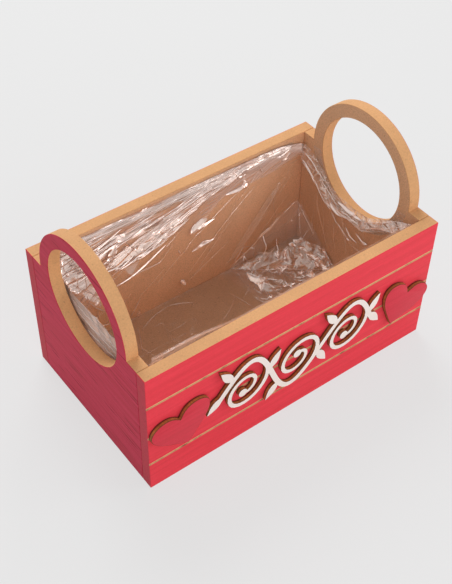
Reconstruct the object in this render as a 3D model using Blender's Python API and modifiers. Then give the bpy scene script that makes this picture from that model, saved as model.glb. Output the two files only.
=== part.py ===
"""A small gift box of fibreboard, stained red outside and lined with clear film.

Two end boards, whose tops are cut as ring handles, stand between a front and a
back board round a thin bottom panel. Glue and headless pins hold the corners.
Two hearts and a scroll of cut board are glued to the front. Nothing moves.

The origin is the middle of the underside. X runs along the front from left to
right, Y from front to back and Z up.
"""

import math

import bmesh
import bpy

# Walls and bottom
LENGTH = 0.250
DEPTH = 0.147
WALL_HEIGHT = 0.112
BOARD = 0.0095
BOTTOM = 0.003
GLUE_GAP = 0.0003

# Ring handles, cut in one with the end boards
RING_RADIUS = 0.0526
HOLE_RADIUS = 0.0418
RING_RISE = 0.0025

# Engraved lines on the front, at shares of the wall's height
GROOVE_SHARES = (0.238, 0.488, 0.762)
GROOVE_WIDTH = 0.0012
GROOVE_DEPTH = 0.0010

# Headless pins, driven through the long boards into the end boards
PINS_PER_CORNER = 3
PIN_RADIUS = 0.0006
PIN_LENGTH = 0.022
PIN_COVER = 0.0015
PIN_INSET = 0.016

# Clear film liner and the clear glue that holds its edge
FILM = 0.0004
FILM_DROP = 0.005
FILM_CORNER = 0.010
FILM_FOLD = 0.004
HOLE_MARGIN = 0.0015
GLUE_BAND = 0.008
GLUE_THICKNESS = 0.0003

# Cut ornaments on the front
ORNAMENT = 0.003
HEART_WIDTH = 0.0475
HEART_HEIGHT = 0.037
HEART_CLEFT = 0.0077
HEART_WIDEST = 0.76  # the widest place, as a share of the height
HEART_LOBE = 0.52  # a lobe's top, as a share of the half width
HEART_TIP_HEIGHT = 0.0323
LEFT_HEART_INSET = 0.0299
LEFT_HEART_TILT = math.radians(12.2)
RIGHT_HEART_INSET = 0.0364
RIGHT_HEART_TILT = math.radians(-26.9)

# The scroll between the hearts: a waved stem with an arm curling in each bend
SCROLL_LEFT_MARGIN = 0.0545
SCROLL_RIGHT_MARGIN = 0.0600
SCROLL_HEIGHT = 0.056
SCROLL_BENDS = 3
STEM_RISE = 0.0235
STEM_WIDTH = 0.0044
STEM_END_WIDTH = 0.0039
ARM_WIDTH = 0.0036
ARM_END_WIDTH = 0.0027
ARM_TURNS = 1.40
ARM_END_RADIUS = 0.0045
BERRY_RADIUS = 0.0035
LEAF_LENGTH = 0.0170
LEAF_WIDTH = 0.0068
SCROLL_SLANT = 0.22
ARM_START = 0.83  # where an arm leaves the stem, as a share of its bend
OUTER_LEAF = 0.20  # the leaf on a bend's outer side, as a share of the bend
OUTER_LEAF_ANGLE = math.radians(128)
CROSSING_LEAF = 0.93  # the leaf at the crossing past a bend
CROSSING_LEAF_ANGLE = math.radians(58)
FIRST_LEAF_ANGLE = math.radians(222)
LAST_LEAF_ANGLE = math.radians(-52)

# Smoothness of the round stretches
ARC_STEPS = 40
SPIRAL_STEPS = 34
HEART_STEPS = 9
PIN_SIDES = 10

# Places worked out from the sizes above
RING_HEIGHT = WALL_HEIGHT + RING_RISE
END_BOARD_DEPTH = DEPTH - 2 * (BOARD + GLUE_GAP)
FILM_STANDOFF = 2 * GLUE_GAP + GLUE_THICKNESS
FILM_TOP = WALL_HEIGHT - FILM_DROP
FILM_BASE = BOTTOM + GLUE_GAP
FILM_LENGTH = LENGTH - 2 * (BOARD + FILM_STANDOFF)
FILM_DEPTH = DEPTH - 2 * (BOARD + FILM_STANDOFF)

# A flat outline is drawn in a curve's own XY plane, then turned upright.
FACING_FRONT = (math.pi / 2, 0, 0)
FACING_SIDE = (math.pi / 2, 0, math.pi / 2)


def clear_scene():
    for old in list(bpy.data.objects):
        bpy.data.objects.remove(old)


def new_collection(name):
    made = bpy.data.collections.new(name)
    bpy.context.scene.collection.children.link(made)
    return made


def material(name, colour, roughness, metallic=0.0, alpha=1.0):
    made = bpy.data.materials.new(name)
    made.use_nodes = True
    shader = made.node_tree.nodes["Principled BSDF"]
    shader.inputs["Base Color"].default_value = (*colour, 1)
    shader.inputs["Roughness"].default_value = roughness
    shader.inputs["Metallic"].default_value = metallic
    shader.inputs["Alpha"].default_value = alpha
    return made


def add_object(name, mesh, where, look=None):
    made = bpy.data.objects.new(name, mesh)
    where.objects.link(made)
    if look:
        mesh.materials.append(look)
    return made


def box(name, low, high, where, look=None):
    """A block between two opposite corners, its origin at its middle."""
    sides = [b - a for a, b in zip(low, high)]
    mesh = bpy.data.meshes.new(name)
    shape = bmesh.new()
    bmesh.ops.create_cube(shape, size=1)
    bmesh.ops.scale(shape, vec=sides, verts=shape.verts)
    shape.to_mesh(mesh)
    shape.free()
    made = add_object(name, mesh, where, look)
    made.location = [(a + b) / 2 for a, b in zip(low, high)]
    return made


def rod(name, radius, length, sides, turn, where, look=None):
    """A round bar along the axis that turn gives, its origin at its middle."""
    mesh = bpy.data.meshes.new(name)
    shape = bmesh.new()
    bmesh.ops.create_cone(
        shape, cap_ends=True, segments=sides, radius1=radius, radius2=radius, depth=length
    )
    shape.to_mesh(mesh)
    shape.free()
    mesh.shade_smooth()
    mesh.set_sharp_from_angle(angle=math.radians(40))
    made = add_object(name, mesh, where, look)
    made.rotation_euler = turn
    return made


def flat_piece(name, outlines, thickness, turn, where, look=None):
    """A flat outline with any holes in it, given thickness and turned upright."""
    curve = bpy.data.curves.new(name, "CURVE")
    curve.dimensions = "2D"
    curve.fill_mode = "BOTH"
    curve.extrude = thickness / 2
    for outline in outlines:
        spline = curve.splines.new("POLY")
        spline.points.add(len(outline) - 1)
        for point, (across, up) in zip(spline.points, outline):
            point.co = (across, up, 0, 1)
        spline.use_cyclic_u = True
    drawn = add_object(name, curve, where)
    drawn.rotation_euler = turn
    bpy.context.view_layer.update()
    evaluated = drawn.evaluated_get(bpy.context.evaluated_depsgraph_get())
    mesh = bpy.data.meshes.new_from_object(evaluated)
    shape = bmesh.new()
    shape.from_mesh(mesh)
    bmesh.ops.remove_doubles(shape, verts=shape.verts, dist=1e-6)
    shape.to_mesh(mesh)
    shape.free()
    matrix = drawn.matrix_world.copy()
    bpy.data.objects.remove(drawn)
    made = add_object(name, mesh, where, look)
    made.matrix_world = matrix
    return made


def use_boolean(target, other, operation):
    """Joins or cuts with a helper, which is left as a wire guide."""
    other.hide_render = True
    other.display_type = "WIRE"
    step = target.modifiers.new(other.name, "BOOLEAN")
    step.operation = operation
    step.object = other


def arc(centre, radius, start, end, steps):
    """Points on a circle from one angle in degrees to another."""
    points = []
    for index in range(steps + 1):
        angle = math.radians(start + (end - start) * index / steps)
        points.append((centre[0] + radius * math.cos(angle), centre[1] + radius * math.sin(angle)))
    return points


def bezier(start, pull_out, pull_in, end, steps):
    """Points on a cubic curve, without its last one."""
    points = []
    for index in range(steps):
        t = index / steps
        s = 1 - t
        shares = (s**3, 3 * s * s * t, 3 * s * t * t, t**3)
        ends = (start, pull_out, pull_in, end)
        points.append(tuple(sum(w * p[axis] for w, p in zip(shares, ends)) for axis in (0, 1)))
    return points


def turned(points, centre, angle):
    """Points turned about the origin, then moved so that the origin is at the centre."""
    c, s = math.cos(angle), math.sin(angle)
    return [(centre[0] + c * x - s * z, centre[1] + s * x + c * z) for x, z in points]


def pin_places():
    """Each pin's name and place: a corner's pins in a row up its joint."""
    across = LENGTH / 2 - BOARD / 2
    back = DEPTH / 2 - PIN_COVER - PIN_LENGTH / 2
    spacing = (WALL_HEIGHT - 2 * PIN_INSET) / (PINS_PER_CORNER - 1)
    places = []
    for long_side, y in (("front", -back), ("back", back)):
        for end, x in (("left", -across), ("right", across)):
            for row in range(PINS_PER_CORNER):
                name = f"{long_side}_{end}_pin_{row + 1}"
                places.append((name, (x, y, PIN_INSET + row * spacing)))
    return places


def pin_holes(helpers):
    """One cutter a pin, a clearance larger than the pin all round."""
    made = []
    for name, place in pin_places():
        radius = PIN_RADIUS + GLUE_GAP
        length = PIN_LENGTH + 2 * GLUE_GAP
        hole = rod(f"{name}_hole", radius, length, PIN_SIDES, FACING_FRONT, helpers)
        hole.location = place
        made.append(hole)
    return made


def long_board(name, side, holes, parts, look):
    """The front (side -1) or back (side 1) board, over both end boards' edges."""
    edges = sorted((side * DEPTH / 2, side * (DEPTH / 2 - BOARD)))
    low = (-LENGTH / 2, edges[0], 0)
    high = (LENGTH / 2, edges[1], WALL_HEIGHT)
    board = box(name, low, high, parts, look)
    for hole in holes:
        if hole.location.y * side > 0:
            use_boolean(board, hole, "DIFFERENCE")
    return board


def engrave_front(board, helpers):
    reach = GLUE_GAP
    for index, share in enumerate(GROOVE_SHARES):
        middle = share * WALL_HEIGHT
        low = (-LENGTH / 2 - reach, -DEPTH / 2 - reach, middle - GROOVE_WIDTH / 2)
        high = (LENGTH / 2 + reach, -DEPTH / 2 + GROOVE_DEPTH, middle + GROOVE_WIDTH / 2)
        cutter = box(f"engraved_line_{index + 1}", low, high, helpers)
        use_boolean(board, cutter, "DIFFERENCE")


def end_board_outline():
    """The wall's outline with the ring standing on its top edge."""
    half = END_BOARD_DEPTH / 2
    ring = arc((0, RING_HEIGHT), RING_RADIUS, 0, 180, ARC_STEPS)
    return [
        (-half, 0),
        (half, 0),
        (half, WALL_HEIGHT),
        (RING_RADIUS, WALL_HEIGHT),
        *ring,
        (-RING_RADIUS, WALL_HEIGHT),
        (-half, WALL_HEIGHT),
    ]


def end_board(name, side, holes, parts, look):
    hole = arc((0, RING_HEIGHT), HOLE_RADIUS, 0, 360, 2 * ARC_STEPS)[:-1]
    board = flat_piece(name, [end_board_outline(), hole], BOARD, FACING_SIDE, parts, look)
    board.location.x = side * (LENGTH / 2 - BOARD / 2)
    for pin_hole in holes:
        if pin_hole.location.x * side > 0:
            use_boolean(board, pin_hole, "DIFFERENCE")
    return board


def bottom_panel(parts, look):
    half_length = LENGTH / 2 - BOARD - GLUE_GAP
    half_depth = DEPTH / 2 - BOARD - GLUE_GAP
    low = (-half_length, -half_depth, 0)
    high = (half_length, half_depth, BOTTOM)
    return box("bottom_panel", low, high, parts, look)


def corner_pins(parts, look):
    for name, place in pin_places():
        pin = rod(name, PIN_RADIUS, PIN_LENGTH, PIN_SIDES, FACING_FRONT, parts, look)
        pin.location = place


def film_liner(parts, helpers, look):
    """A tray of film with rounded corners, cut away round both handle holes."""
    mesh = bpy.data.meshes.new("film_liner")
    shape = bmesh.new()
    bmesh.ops.create_cube(shape, size=1)
    bmesh.ops.scale(shape, vec=(FILM_LENGTH, FILM_DEPTH, FILM_TOP - FILM_BASE), verts=shape.verts)
    upright = [e for e in shape.edges if abs(e.verts[0].co.z - e.verts[1].co.z) > FILM_FOLD]
    bmesh.ops.bevel(
        shape, geom=upright, offset=FILM_CORNER, segments=4, profile=0.5, affect="EDGES"
    )
    lid = [f for f in shape.faces if f.normal.z > 0.9]
    bmesh.ops.delete(shape, geom=lid, context="FACES_ONLY")
    low = -(FILM_TOP - FILM_BASE) / 2
    fold = [e for e in shape.edges if max(v.co.z for v in e.verts) < low + FILM_FOLD / 2]
    bmesh.ops.bevel(shape, geom=fold, offset=FILM_FOLD, segments=2, profile=0.5, affect="EDGES")
    shape.to_mesh(mesh)
    shape.free()
    liner = add_object("film_liner", mesh, parts, look)
    liner.location.z = (FILM_TOP + FILM_BASE) / 2
    wall = liner.modifiers.new("thickness", "SOLIDIFY")
    wall.thickness = FILM
    wall.offset = -1
    wall.use_even_offset = True
    radius = HOLE_RADIUS + HOLE_MARGIN
    cutter = rod("film_cutaway", radius, LENGTH, 2 * ARC_STEPS, (0, math.pi / 2, 0), helpers)
    cutter.location.z = RING_HEIGHT
    use_boolean(liner, cutter, "DIFFERENCE")
    return liner


def straight_glue(name, side, parts, look):
    """The glue band under the film's edge on the front (-1) or back (1) board."""
    half = FILM_LENGTH / 2 - FILM_CORNER
    face = DEPTH / 2 - BOARD - GLUE_GAP
    edges = sorted((side * face, side * (face - GLUE_THICKNESS)))
    low = (-half, edges[0], FILM_TOP - GLUE_BAND)
    high = (half, edges[1], FILM_TOP)
    return box(name, low, high, parts, look)


def curved_glue(name, side, parts, look):
    """The glue band on an end board, bent round under the handle's hole."""
    inner = HOLE_RADIUS + HOLE_MARGIN
    outer = inner + GLUE_BAND
    centre = (0, RING_HEIGHT)
    drop = RING_HEIGHT - FILM_TOP
    low = math.degrees(math.asin(drop / outer))
    near = math.degrees(math.asin(drop / inner))
    outline = arc(centre, outer, 180 + low, 360 - low, ARC_STEPS)
    outline += arc(centre, inner, 360 - near, 180 + near, ARC_STEPS)
    band = flat_piece(name, [outline], GLUE_THICKNESS, FACING_SIDE, parts, look)
    band.location.x = side * (LENGTH / 2 - BOARD - GLUE_GAP - GLUE_THICKNESS / 2)
    return band


def heart_outline():
    """A heart with its tip at the origin, drawn from its right half."""
    half = HEART_WIDTH / 2
    widest = (half, HEART_WIDEST * HEART_HEIGHT)
    top = (HEART_LOBE * half, HEART_HEIGHT)
    cleft = (0, HEART_HEIGHT - HEART_CLEFT)
    shoulder = HEART_HEIGHT - widest[1]
    tip_pull = (0.47 * half, 0.27 * HEART_HEIGHT)
    side_pull = (half, 0.49 * HEART_HEIGHT)
    right = bezier((0, 0), tip_pull, side_pull, widest, HEART_STEPS)
    right += bezier(
        widest, (half, widest[1] + 0.55 * shoulder), (0.79 * half, HEART_HEIGHT), top, HEART_STEPS
    )
    into_cleft = (0.12 * half, cleft[1] + 0.45 * HEART_CLEFT)
    right += bezier(top, (0.23 * half, HEART_HEIGHT), into_cleft, cleft, HEART_STEPS)
    left = [(-x, z) for x, z in reversed(right[1:])]
    return [*right, cleft, *left]


def heart(name, x, tilt, parts, look):
    outline = turned(heart_outline(), (x, HEART_TIP_HEIGHT), tilt)
    made = flat_piece(name, [outline], ORNAMENT, FACING_FRONT, parts, look)
    made.location.y = -DEPTH / 2 - GLUE_GAP - ORNAMENT / 2
    return made


def slanted(points):
    return [(x + SCROLL_SLANT * z, z) for x, z in points]


def stroke_outline(points, start_width, end_width):
    """The two sides of a line of changing width, drawn round its middle."""
    left, right = [], []
    last = len(points) - 1
    for index, (x, z) in enumerate(points):
        before = points[max(index - 1, 0)]
        after = points[min(index + 1, last)]
        run, rise = after[0] - before[0], after[1] - before[1]
        size = math.hypot(run, rise)
        half = (start_width + (end_width - start_width) * index / last) / 2
        left.append((x - half * rise / size, z + half * run / size))
        right.append((x + half * rise / size, z - half * run / size))
    return left + right[::-1]


def stem_point(along, pitch):
    return (along, STEM_RISE * math.sin(math.pi * along / pitch))


def stem_line(pitch):
    steps = SCROLL_BENDS * SPIRAL_STEPS // 2
    return [stem_point(SCROLL_BENDS * pitch * i / steps, pitch) for i in range(steps + 1)]


def arm_line(bend, pitch):
    """A spiral that leaves the stem past the bend's crest and curls in under it."""
    centre = (bend + 0.5) * pitch
    side = 1 if bend % 2 == 0 else -1
    start = stem_point((bend + ARM_START) * pitch, pitch)
    across, up = start[0] - centre, side * start[1]
    start_angle = math.atan2(up, across)
    start_radius = math.hypot(across, up)
    points = []
    for index in range(SPIRAL_STEPS + 1):
        share = index / SPIRAL_STEPS
        angle = start_angle - share * ARM_TURNS * 2 * math.pi
        radius = start_radius + (ARM_END_RADIUS - start_radius) * share
        points.append((centre + radius * math.cos(angle), side * radius * math.sin(angle)))
    return points


def leaf_outline(base, angle):
    """A pointed leaf whose foot is at the base and whose tip lies at the angle."""
    steps = HEART_STEPS
    upper = []
    for index in range(steps + 1):
        share = index / steps
        upper.append((share * LEAF_LENGTH, LEAF_WIDTH / 2 * math.sin(math.pi * share**0.8)))
    lower = [(x, -z) for x, z in reversed(upper[1:-1])]
    return turned(upper + lower, base, angle)


def leaf_places(pitch):
    """Each leaf's foot and direction: at the stem's start and, for each bend, outside
    its near side and at the crossing past it."""
    tip = STEM_WIDTH / 2
    places = [(stem_point(tip, pitch), FIRST_LEAF_ANGLE)]
    for bend in range(SCROLL_BENDS):
        side = 1 if bend % 2 == 0 else -1
        outer = stem_point((bend + OUTER_LEAF) * pitch, pitch)
        places.append((outer, side * OUTER_LEAF_ANGLE))
        crossing = stem_point((bend + CROSSING_LEAF) * pitch, pitch)
        places.append((crossing, side * CROSSING_LEAF_ANGLE))
    places.append((stem_point(SCROLL_BENDS * pitch - tip, pitch), side * LAST_LEAF_ANGLE))
    return places


def scroll_outlines():
    """Every stroke, leaf and berry of the scroll, each as its own outline."""
    pitch = (LENGTH - SCROLL_LEFT_MARGIN - SCROLL_RIGHT_MARGIN) / SCROLL_BENDS
    outlines = [stroke_outline(slanted(stem_line(pitch)), STEM_WIDTH, STEM_END_WIDTH)]
    for bend in range(SCROLL_BENDS):
        line = slanted(arm_line(bend, pitch))
        outlines.append(stroke_outline(line, ARM_WIDTH, ARM_END_WIDTH))
        outlines.append(arc(line[-1], BERRY_RADIUS, 0, 360, ARC_STEPS // 2)[:-1])
    for base, angle in leaf_places(pitch):
        outlines.append(leaf_outline(slanted([base])[0], angle))
    middle = (SCROLL_LEFT_MARGIN - LENGTH / 2, SCROLL_HEIGHT)
    return [turned(outline, middle, 0) for outline in outlines]


def scroll(parts, helpers, look):
    """The scroll in one piece: its stem, joined with its arms, berries and leaves."""
    made = None
    for index, outline in enumerate(scroll_outlines()):
        if made is None:
            made = flat_piece("scroll_ornament", [outline], ORNAMENT, FACING_FRONT, parts, look)
            made.location.y = -DEPTH / 2 - GLUE_GAP - ORNAMENT / 2
            continue
        stroke = flat_piece(f"scroll_stroke_{index}", [outline], ORNAMENT, FACING_FRONT, helpers)
        stroke.location.y = made.location.y
        use_boolean(made, stroke, "UNION")
    return made


def main():
    clear_scene()
    parts = new_collection("gift_box")
    helpers = new_collection("gift_box_helpers")
    helpers.hide_render = True
    stain_front = material("front_stain", (0.70, 0.05, 0.08), 0.55)
    stain_back = material("back_stain", (0.68, 0.05, 0.08), 0.55)
    stain_left = material("left_stain", (0.56, 0.04, 0.08), 0.6)
    stain_right = material("right_stain", (0.56, 0.04, 0.08), 0.6)
    raw_board = material("raw_board", (0.55, 0.34, 0.16), 0.75)
    heart_stain = material("heart_stain", (0.52, 0.05, 0.08), 0.6)
    white_paint = material("white_paint", (0.95, 0.87, 0.82), 0.5)
    steel = material("pin_steel", (0.55, 0.55, 0.56), 0.35, metallic=1.0)
    clear_film = material("clear_film", (0.95, 0.93, 0.93), 0.12, alpha=0.2)
    clear_glue = material("clear_glue", (0.90, 0.86, 0.84), 0.3, alpha=0.35)

    holes = pin_holes(helpers)
    front = long_board("front_panel", -1, holes, parts, stain_front)
    engrave_front(front, helpers)
    long_board("back_panel", 1, holes, parts, stain_back)
    end_board("left_end_panel", -1, holes, parts, stain_left)
    end_board("right_end_panel", 1, holes, parts, stain_right)
    bottom_panel(parts, raw_board)
    corner_pins(parts, steel)
    film_liner(parts, helpers, clear_film)
    straight_glue("liner_glue_front", -1, parts, clear_glue)
    straight_glue("liner_glue_back", 1, parts, clear_glue)
    curved_glue("liner_glue_left", -1, parts, clear_glue)
    curved_glue("liner_glue_right", 1, parts, clear_glue)
    heart("left_heart", LEFT_HEART_INSET - LENGTH / 2, LEFT_HEART_TILT, parts, heart_stain)
    heart("right_heart", LENGTH / 2 - RIGHT_HEART_INSET, RIGHT_HEART_TILT, parts, heart_stain)
    scroll(parts, helpers, white_paint)


main()
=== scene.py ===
"""Finishes for a small wooden gift box: stained boards with ring handles, cut ornaments
glued to the front and a crinkled liner of clear film.

Everything is in metres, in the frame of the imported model: X runs along the front from
left to right, Y from front to back and Z up from the surface that the box stands on.
"""

import math

import bmesh
import bpy
import numpy as np
from bpy.props import FloatProperty, FloatVectorProperty, PointerProperty
from mathutils import Matrix, Quaternion, Vector
from mathutils.bvhtree import BVHTree
from mathutils.geometry import delaunay_2d_cdt


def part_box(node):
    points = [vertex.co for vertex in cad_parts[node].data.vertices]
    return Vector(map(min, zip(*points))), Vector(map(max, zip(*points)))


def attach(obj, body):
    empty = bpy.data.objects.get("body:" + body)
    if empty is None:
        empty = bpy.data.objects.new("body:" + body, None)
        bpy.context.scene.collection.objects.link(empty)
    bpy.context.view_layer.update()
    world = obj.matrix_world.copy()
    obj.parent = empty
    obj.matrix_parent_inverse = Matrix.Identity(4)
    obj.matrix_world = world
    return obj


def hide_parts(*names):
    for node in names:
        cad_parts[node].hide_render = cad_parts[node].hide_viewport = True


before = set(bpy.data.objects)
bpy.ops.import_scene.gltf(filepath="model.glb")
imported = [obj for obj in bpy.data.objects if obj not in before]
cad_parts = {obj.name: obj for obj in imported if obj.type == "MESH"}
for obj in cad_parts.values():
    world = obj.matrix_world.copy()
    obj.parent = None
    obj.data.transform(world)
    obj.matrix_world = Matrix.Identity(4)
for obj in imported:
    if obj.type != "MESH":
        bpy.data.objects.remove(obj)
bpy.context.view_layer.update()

bl_info = {
    "name": "Gift box",
    "version": (1, 0, 0),
    "blender": (4, 5, 0),
    "location": "3D View > Sidebar > Gift box",
    "description": "Makes a stained gift box with ring handles and a liner of clear film",
    "category": "Object",
}

BODY = "root"

# The boards' places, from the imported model
FRONT_LOW, FRONT_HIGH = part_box("front_panel")
BACK_LOW, BACK_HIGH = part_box("back_panel")
FILM_LOW, FILM_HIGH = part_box("film_liner")
HEART_LOW, HEART_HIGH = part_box("left_heart")
WALL_HEIGHT = FRONT_HIGH.z
ORNAMENT_FRONT = HEART_LOW.y
ORNAMENT = HEART_HIGH.y - HEART_LOW.y

PINS = [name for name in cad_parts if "_pin_" in name]
GLUE_BANDS = [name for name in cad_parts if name.startswith("liner_glue_")]


def screen(red, green, blue):
    """A colour written as it looks on a screen, from 0 to 255, as Blender's linear one."""
    shares = [value / 255 for value in (red, green, blue)]
    return tuple(s / 12.92 if s <= 0.04045 else ((s + 0.055) / 1.055) ** 2.4 for s in shares)


def number(name, description, default, **more):
    return FloatProperty(name=name, description=description, default=default, **more)


def length(name, description, default):
    return number(name, description, default, min=0.0, unit="LENGTH")


def share(name, description, default):
    return number(name, description, default, min=0.0, subtype="FACTOR")


def power(name, description, default):
    return number(name, description, default, min=0.0, subtype="POWER")


def angle(name, description, degrees):
    return number(name, description, math.radians(degrees), subtype="ANGLE")


def colour(name, description, *tone):
    return FloatVectorProperty(
        name=name, description=description, default=screen(*tone), subtype="COLOR", min=0.0, max=1.0
    )


class GIFTBOX_PG_sizes(bpy.types.PropertyGroup):
    """Sizes of the boards and the ornaments."""

    edge_round: length("Edge round", "Radius that sanding leaves on the boards' edges", 0.0004)
    ring_radius: length("Ring radius", "Outer radius of a ring handle", 0.0526)
    hole_radius: length("Hole radius", "Radius of the hand hole in a ring", 0.0418)
    groove_width: length("Groove width", "Width of an engraved line", 0.0021)
    groove_depth: length("Groove depth", "Depth of an engraved line", 0.0007)
    cut_round: length("Cut round", "Radius on the edges of the cut ornaments", 0.00025)
    heart_width: length("Heart width", "Width of a heart", 0.0475)
    heart_height: length("Heart height", "Height of a heart", 0.037)
    heart_cleft: length("Heart cleft", "Depth of the notch between the lobes", 0.0077)
    heart_tip: length("Heart tip height", "Height of a heart's tip on the front", 0.0323)


class GIFTBOX_PG_finishes(bpy.types.PropertyGroup):
    """Colours of the stain, the board, the paint and the film."""

    front_stain: colour("Front stain", "Stain on the front and back boards", 243, 66, 78)
    end_grain_stain: colour("End grain stain", "Stain on the long boards' ends", 208, 64, 78)
    # The end boards carry the front's stain; this copy is darker as painted shade on the sides, and a
    # little bluer.
    side_stain_with_painted_shade: colour("Side stain", "Stain on the end boards", 212, 44, 72)
    heart_stain: colour("Heart stain", "Stain on the hearts", 222, 62, 76)
    cut_board: colour("Cut board", "Cut and sanded edges of the fibreboard", 232, 175, 122)
    raw_board: colour("Raw board", "Faces of the bare fibreboard", 240, 190, 149)
    groove: colour("Groove", "Bare board in the engraved lines", 248, 188, 136)
    scorch: colour("Scorch", "Edges browned by the cutting beam", 98, 56, 30)
    toasted: colour("Toasted board", "Middle of a browned edge", 208, 138, 78)
    white_paint: colour("White paint", "Paint on the scroll", 255, 244, 236)
    film_tint: colour("Film tint", "Haze of the creased film", 255, 238, 228)
    glue_tint: colour("Glue tint", "Haze of the dried glue", 240, 226, 220)


class GIFTBOX_PG_stage(bpy.types.PropertyGroup):
    """Camera, lamps and floor."""

    camera_place: FloatVectorProperty(
        name="Camera place",
        description="Where the camera stands",
        default=(-0.34041, -0.43112, 0.61377),
        subtype="TRANSLATION",
        unit="LENGTH",
    )
    camera_azimuth: angle("Camera azimuth", "Turn round the box, from its front", -37.70)
    camera_elevation: angle("Camera elevation", "Angle above the floor", 45.455)
    camera_roll: angle("Camera roll", "Tilt of the picture", 1.283)
    camera_lens: number("Camera lens", "Focal length in millimetres", 65.757, min=1.0)
    back_power: power("Back power", "Soft box above and behind", 13.0)
    front_power: power("Front power", "Low soft box at the front", 5.0)
    side_power: power("Side power", "Low soft box at the right", 4.5)
    sky_light: share("Sky light", "Strength of the light from all round", 0.41)
    floor_tone: colour("Floor tone", "Colour of the floor and backdrop", 233, 233, 233)
    shadow_share: share("Shadow share", "How much of the shadow the floor shows", 0.2)


class Signal:
    """A node's output; a sum, difference, product or quotient with it adds a Math node."""

    def __init__(self, tree, socket):
        self.tree = tree
        self.socket = socket

    def __add__(self, other):
        return maths("ADD", self, other)

    def __sub__(self, other):
        return maths("SUBTRACT", self, other)

    def __rsub__(self, other):
        return maths("SUBTRACT", other, self)

    def __mul__(self, other):
        return maths("MULTIPLY", self, other)

    def __truediv__(self, other):
        return maths("DIVIDE", self, other)

    def __rtruediv__(self, other):
        return maths("DIVIDE", other, self)


def plug(value, socket):
    """Links a signal to a socket, or sets the socket's own value."""
    if isinstance(value, Signal):
        value.tree.links.new(value.socket, socket)
    else:
        socket.default_value = value


def add_node(tree, kind, inputs=None, **settings):
    """Adds a node with its settings; each input is a value or a signal."""
    made = tree.nodes.new(kind)
    for key, value in settings.items():
        setattr(made, key, value)
    for key, value in (inputs or {}).items():
        plug(value, made.inputs[key])
    return made


def wire(tree, kind, inputs=None, output=0, **settings):
    """Adds a node and returns one of its outputs as a signal."""
    return Signal(tree, add_node(tree, kind, inputs, **settings).outputs[output])


def maths(operation, first, second=0.0, clamp=False):
    tree = (first if isinstance(first, Signal) else second).tree
    return wire(tree, "ShaderNodeMath", {0: first, 1: second}, operation=operation, use_clamp=clamp)


def vector_maths(operation, *vectors):
    return wire(vectors[0].tree, "ShaderNodeVectorMath", dict(enumerate(vectors)), operation=operation)


def combined(tree, **parts):
    return wire(tree, "ShaderNodeCombineXYZ", parts)


def part_of(vector, axis):
    return wire(vector.tree, "ShaderNodeSeparateXYZ", {0: vector}, axis)


def spread(value, low, high):
    """The value from low to high, spread smoothly over 0 to 1."""
    inputs = {"Value": value, "From Min": low, "From Max": high}
    return wire(value.tree, "ShaderNodeMapRange", inputs, "Result", interpolation_type="SMOOTHSTEP")


def blend_colours(factor, first, second):
    pair = [tone if isinstance(tone, Signal) else (*tone, 1.0) for tone in (first, second)]
    inputs = {0: factor, 6: pair[0], 7: pair[1]}
    return wire(factor.tree, "ShaderNodeMix", inputs, 2, data_type="RGBA")


def placed(tree, scale=(1, 1, 1), turn=(0, 0, 0)):
    """Object coordinates, turned and stretched by a Mapping node."""
    source = wire(tree, "ShaderNodeTexCoord", output="Object")
    return wire(tree, "ShaderNodeMapping", {"Vector": source, "Rotation": turn, "Scale": scale})


def noise(vector, scale, detail=4.0, roughness=0.55):
    inputs = {"Vector": vector, "Scale": scale, "Detail": detail, "Roughness": roughness}
    return wire(vector.tree, "ShaderNodeTexNoise", inputs, "Fac")


def group_tree(build, numbers):
    """The node group that a function describes, with a vector and numbers as its inputs."""
    tree = bpy.data.node_groups.new(build.__name__, "ShaderNodeTree")
    tree.interface.new_socket("Vector", in_out="INPUT", socket_type="NodeSocketVector")
    for name, value in numbers.items():
        tree.interface.new_socket(name, in_out="INPUT", socket_type="NodeSocketFloat").default_value = value
    start = tree.nodes.new("NodeGroupInput").outputs
    results = build(*(Signal(tree, start[name]) for name in ("Vector", *numbers)))
    for name in results:
        tree.interface.new_socket(name, in_out="OUTPUT", socket_type="NodeSocketFloat")
    end = tree.nodes.new("NodeGroupOutput").inputs
    for name, signal in results.items():
        plug(signal, end[name])
    return tree


def shader_group(**numbers):
    """Makes a node group of a function of a vector and numbers that returns named signals.

    It is then called with a vector and the numbers that differ from the group's own."""

    def spoken(given):
        return {key.replace("_", " ").capitalize(): value for key, value in given.items()}

    def wrap(build):
        def use(vector, **changed):
            tree = bpy.data.node_groups.get(build.__name__) or group_tree(build, spoken(numbers))
            inputs = {"Vector": vector, **spoken(changed)}
            outputs = add_node(vector.tree, "ShaderNodeGroup", inputs, node_tree=tree).outputs
            return {socket.name: Signal(vector.tree, socket) for socket in outputs}

        return use

    return wrap


@shader_group(streak_length=0.09, streak_width=0.004)
def brush_streaks(vector, streak_length, streak_width):
    """Streaks that a brush leaves in stain, along X: soft bands and sparse dark lines."""
    across = 1.0 / streak_width
    squeeze = combined(vector.tree, X=1.0 / streak_length, Y=across, Z=across)
    stretched = vector_maths("MULTIPLY", vector, squeeze)
    bands = noise(stretched, 1.0, detail=5.0, roughness=0.6)
    fine = noise(stretched, 2.4, detail=2.0, roughness=0.5)
    gaps = noise(stretched, 0.7, detail=2.0)
    lines = spread(fine, 0.57, 0.66) * spread(gaps, 0.36, 0.50)
    return {"Bands": spread(bands, 0.3, 0.7), "Lines": lines}


@shader_group(fibre_size=0.0011)
def board_fibres(vector, fibre_size):
    """Pressed fibres of bare board: cloudy tone, fine speckle and sparse dark flecks."""
    scale = 1.0 / fibre_size
    clouds = noise(vector, 34.0, detail=3.0)
    speckle = noise(vector, scale, detail=3.0, roughness=0.7)
    flecks = noise(vector, scale * 0.6, detail=2.0, roughness=0.4)
    return {
        "Clouds": spread(clouds, 0.3, 0.7),
        "Speckle": spread(speckle, 0.3, 0.7),
        "Flecks": spread(flecks, 0.64, 0.74),
    }


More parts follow.
